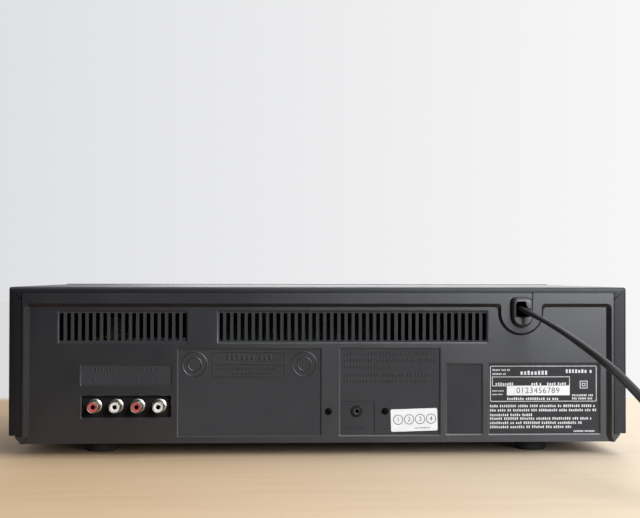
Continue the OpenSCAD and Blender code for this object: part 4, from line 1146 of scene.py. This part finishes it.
def display_segments():
    """Two rows of level bars and two three-figure counters, on the display's face."""
    teal, orange = bmesh.new(), bmesh.new()
    for z in BAR_ROWS:
        for k in range(BARS):
            x = BAR_X + BAR_PITCH * k
            front_mark(orange if k > LAST_TEAL else teal,
                       outline(x, x + BAR_W, z - BAR_HALF_H, z + BAR_HALF_H), Y_DISPLAY, SEGMENT_T)
    # a fine tick under every second bar
    for k in range(BARS // 2):
        x = BAR_X + TICK_X + 2 * BAR_PITCH * k
        front_mark(teal, outline(x, x + TICK_W, *TICK_Z), Y_DISPLAY, SEGMENT_T)
    show("display_bars", teal, "segment_teal", smooth=20)
    show("display_peaks", orange, "segment_orange", smooth=20)
    for side in (-1, 1):
        figures(f"counter_{'a' if side < 0 else 'b'}", "000", 5.6, (side * COUNTER_X, COUNTER_Z),
                Y_DISPLAY - LET_IN, "segment_teal", back=False, gap=1.1)


# A window's frame; then the row of dashes and the line below it
TRIM_HALF_W, TRIM_Z, TRIM_W = 48.0, (54.0, 106.0), 1.8
DOOR_ROW_HALF, DOOR_ROW_Z, DOOR_ROW_HIGH = 9, 48.6, 1.9
DOOR_LINE_HALF, DOOR_LINE_Z = 56, (44.6, 44.9)


def door_trims():
    """A narrow raised frame round each cassette window; dashes and a fine line below it."""
    for side, door in ((-1, "door_a"), (1, "door_b")):
        middle = side * DECK_X
        shape = bmesh.new()
        outer, inner = [outline(middle - TRIM_HALF_W + g, middle + TRIM_HALF_W - g, TRIM_Z[0] + g,
                                TRIM_Z[1] - g, r, 4) for g, r in ((0, 2.0), (TRIM_W, 0.8))]
        band(shape, outer, inner, Y_FRONT - 0.5, Y_FRONT + LET_IN)
        piece = show(door + "_frame", shape, "door_abs", door)
        ease(piece, 0.15)
        shape = bmesh.new()
        row = (middle + DOOR_ROW_HALF, middle - DOOR_ROW_HALF, DOOR_ROW_Z, DOOR_ROW_HIGH)
        for x0, x1, z0, z1 in dashes([row], random.Random(2)):
            front_mark(shape, outline(x0, x1, z0, z1), Y_FRONT)
        front_mark(shape, outline(middle - DOOR_LINE_HALF, middle + DOOR_LINE_HALF, *DOOR_LINE_Z), Y_FRONT)
        show(door + "_dashes", shape, "key_print", door)


def socket_trim():
    """A nickel ring round the headphone socket's bore."""
    shape = bmesh.new()
    turned(shape, SOCKET_X, KEY_Z, [(3.3, -130.6), (5.9, -130.6), (5.9, -131.2), (5.6, -131.5),
                                    (3.9, -131.5), (3.3, -131.0), (3.3, -130.6)])
    show("socket_ring", shape, "nickel_plate")


key_signs()
fluted_knob("record_level_knob", LEVEL_X, LEVEL_Z, LEVEL_R, Y_KNOB, 48)
fluted_knob("phones_level_knob", PHONES_X, KEY_Z, PHONES_R, Y_PHONES, 24)
level_scale()
fascia_print()
display_segments()
door_trims()
socket_trim()

# ---- Stage and light ----

# In metres on the table's plane: where it ends in the wall, and where the dim room begins
TABLE_EDGE = (-0.31, -0.25)
NEAR_EDGE = (0.26, 0.42)
# The wood's grain, in millimetres across, and how far its marks run with it
GRAIN_WIDTH, GRAIN_SQUASH = 50 / 3, 0.12
# Shades on the table towards the window lamp: axis, start, full depth, strength
SHADES = ((0, -0.33, -0.62, 0.8), (1, -0.22, 0.0, 1.0), (1, 0.40, 0.70, 0.8))


def wood_tones(tree, place, across):
    """Pale varnished beech: a long fine grain, with painted light: lighter and less warm towards the window
    lamp's side.
    """
    long_grain = add(tree, "Mapping", {"Vector": place, "Scale": (GRAIN_SQUASH, 1, 1)}).outputs[0]
    grain = add(tree, "TexNoise", {"Vector": long_grain, "Scale": 1 / (GRAIN_WIDTH * MM),
                                   "Detail": 4.0}).outputs["Fac"]
    # painted light: the wood turns lighter and less warm towards the window lamp, standing in for its sheen
    # on the table
    painted_window_light = add(tree, "MapRange", {"Value": across, 1: 0.22, 2: -0.32},
                interpolation_type="SMOOTHSTEP").outputs[0]
    tones = [add(tree, "Mix", {0: painted_window_light, 6: linear(left), 7: linear(right)}, data_type="RGBA").outputs[2]
             for left, right in (("ae9271", "c2b29b"), ("bca280", "cdbea7"))]
    return add(tree, "Mix", {0: grain, 6: tones[0], 7: tones[1]}, data_type="RGBA").outputs[2]


def wall_glow(tree, across):
    """The pale wall's colour, which the plane takes on past the table's far edge, with painted light:
    lighter towards the window lamp's side.
    """
    side = add(tree, "MapRange", {"Value": across, 1: 0.3, 2: -0.3}).outputs[0]
    wall = add(tree, "Mix", {0: side, 6: linear("dbdcdd"), 7: linear("f6f6f7")}, data_type="RGBA")
    return add(tree, "Emission", {"Color": wall.outputs[2], "Strength": 1.0}).outputs[0]


def dim_places(tree, parts):
    """Where the plane is a dim room: past the near edge for every ray but the camera's, and for
    the camera in shade towards the window lamp, where the table would only be white."""
    near = add(tree, "MapRange", {"Value": parts[1], 1: NEAR_EDGE[0], 2: NEAR_EDGE[1]}).outputs[0]
    seen = add(tree, "LightPath").outputs["Is Camera Ray"]
    unseen = add(tree, "Math", {0: 1.0, 1: seen}, operation="SUBTRACT").outputs[0]
    dim = add(tree, "Math", {0: near, 1: unseen}, operation="MULTIPLY").outputs[0]
    shades = [add(tree, "MapRange", {"Value": parts[axis], 1: a, 2: b, 4: top},
                  interpolation_type="SMOOTHSTEP").outputs[0] for axis, a, b, top in SHADES]
    beside = add(tree, "Math", {0: shades[0], 1: shades[1]}, operation="MULTIPLY").outputs[0]
    shade = add(tree, "Math", {0: beside, 1: shades[2]}, operation="MAXIMUM").outputs[0]
    shade = add(tree, "Math", {0: shade, 1: seen}, operation="MULTIPLY").outputs[0]
    return add(tree, "Math", {0: dim, 1: shade}, operation="MAXIMUM").outputs[0]


def table_finish():
    """The stage's finish: wood, the wall past its far edge and a dim room past its near one."""
    material, tree, shader = start("stage_table", Roughness=0.65, Specular_IOR_Level=0.12)
    place = add(tree, "TexCoord").outputs["Object"]
    parts = add(tree, "SeparateXYZ", {0: place}).outputs
    tree.links.new(wood_tones(tree, place, parts[0]), shader.inputs["Base Color"])
    on_table = add(tree, "MapRange", {"Value": parts[1], 1: TABLE_EDGE[0], 2: TABLE_EDGE[1]},
                   interpolation_type="SMOOTHSTEP").outputs[0]
    mixed = add(tree, "MixShader", {0: on_table, 1: wall_glow(tree, parts[0]), 2: shader.outputs[0]})
    room = add(tree, "BsdfDiffuse", {"Color": linear("3a3a3c")})
    whole = add(tree, "MixShader", {0: dim_places(tree, parts), 1: mixed.outputs[0], 2: room.outputs[0]})
    tree.links.new(whole.outputs[0], tree.nodes["Material Output"].inputs["Surface"])
    return material


def table_top():
    """The stage's one plane: a table top that goes over into the wall's colour."""
    mesh = bpy.data.meshes.new("table_top")
    mesh.from_pydata([(-4, -5, 0), (4, -5, 0), (4, 3, 0), (-4, 3, 0)], [], [(0, 1, 2, 3)])
    table = bpy.data.objects.new("table_top", mesh)
    bpy.context.collection.objects.link(table)
    mesh.materials.append(table_finish())


def area_lamp(name, at, towards, size, watts, colour="ffffff"):
    """A broad soft lamp, out of the camera's sight."""
    data = bpy.data.lights.new(name, "AREA")
    data.shape, data.size, data.size_y, data.energy = "RECTANGLE", size[0], size[1], watts
    data.color = linear(colour)[:3]
    lamp = bpy.data.objects.new(name, data)
    lamp.location = at
    lamp.rotation_euler = (Vector(towards) - Vector(at)).to_track_quat("-Z", "Y").to_euler()
    lamp.visible_camera = False
    bpy.context.collection.objects.link(lamp)


def surroundings():
    """A pale wall behind the deck's front and a dimmer room behind its back, darker to one side."""
    world = bpy.data.worlds.new("surroundings")
    bpy.context.scene.world = world
    world.use_nodes = True
    tree = world.node_tree
    room = tree.nodes["Background"]
    room.inputs["Color"].default_value = linear("f4f6fa")
    way = add(tree, "TexCoord").outputs["Generated"]
    parts = add(tree, "SeparateXYZ", {0: way})
    # the wall the camera sees carries painted light: lighter towards the window lamp's side
    side = add(tree, "MapRange", {"Value": parts.outputs[0], 1: 0.3, 2: -0.3}).outputs[0]
    seen = add(tree, "Mix", {0: side, 6: linear("dbdcde"), 7: linear("f7f7f8")}, data_type="RGBA")
    dim = add(tree, "MapRange", {"Value": parts.outputs[0], 1: 0.3, 2: -0.7, 3: 0.06, 4: 0.5})
    far = add(tree, "MapRange", {"Value": parts.outputs[1], 1: -0.5, 2: -0.9, 3: 0.6, 4: 0.95})
    lit = add(tree, "MapRange", {"Value": parts.outputs[1], 1: 0.15, 2: -0.15, 3: dim.outputs[0],
                                 4: far.outputs[0]})
    tree.links.new(lit.outputs[0], room.inputs["Strength"])
    rays = add(tree, "LightPath")
    shown = add(tree, "Math", {0: rays.outputs["Is Camera Ray"], 1: rays.outputs["Is Transmission Ray"]},
                operation="MAXIMUM").outputs[0]
    wall = add(tree, "Background", {"Color": seen.outputs[2], "Strength": 1.0})
    mixed = add(tree, "MixShader", {0: shown, 1: room.outputs[0], 2: wall.outputs[0]})
    tree.links.new(mixed.outputs[0], tree.nodes["World Output"].inputs["Surface"])


table_top()
surroundings()
area_lamp("window", (-1.15, 2.0, 0.88), (-0.9, 0.1, 0.3), (1.35, 1.3), 112, "f4f7ff")
area_lamp("ceiling", (-0.6, 0.1, 1.8), (-0.35, 0.1, 0), (1.4, 1.4), 22, "fbfcff")
area_lamp("front_fill", (-0.3, -2.0, 1.0), (0, 0, 0.06), (1.4, 1.2), 19)
bpy.context.scene.view_settings.view_transform = "Standard"
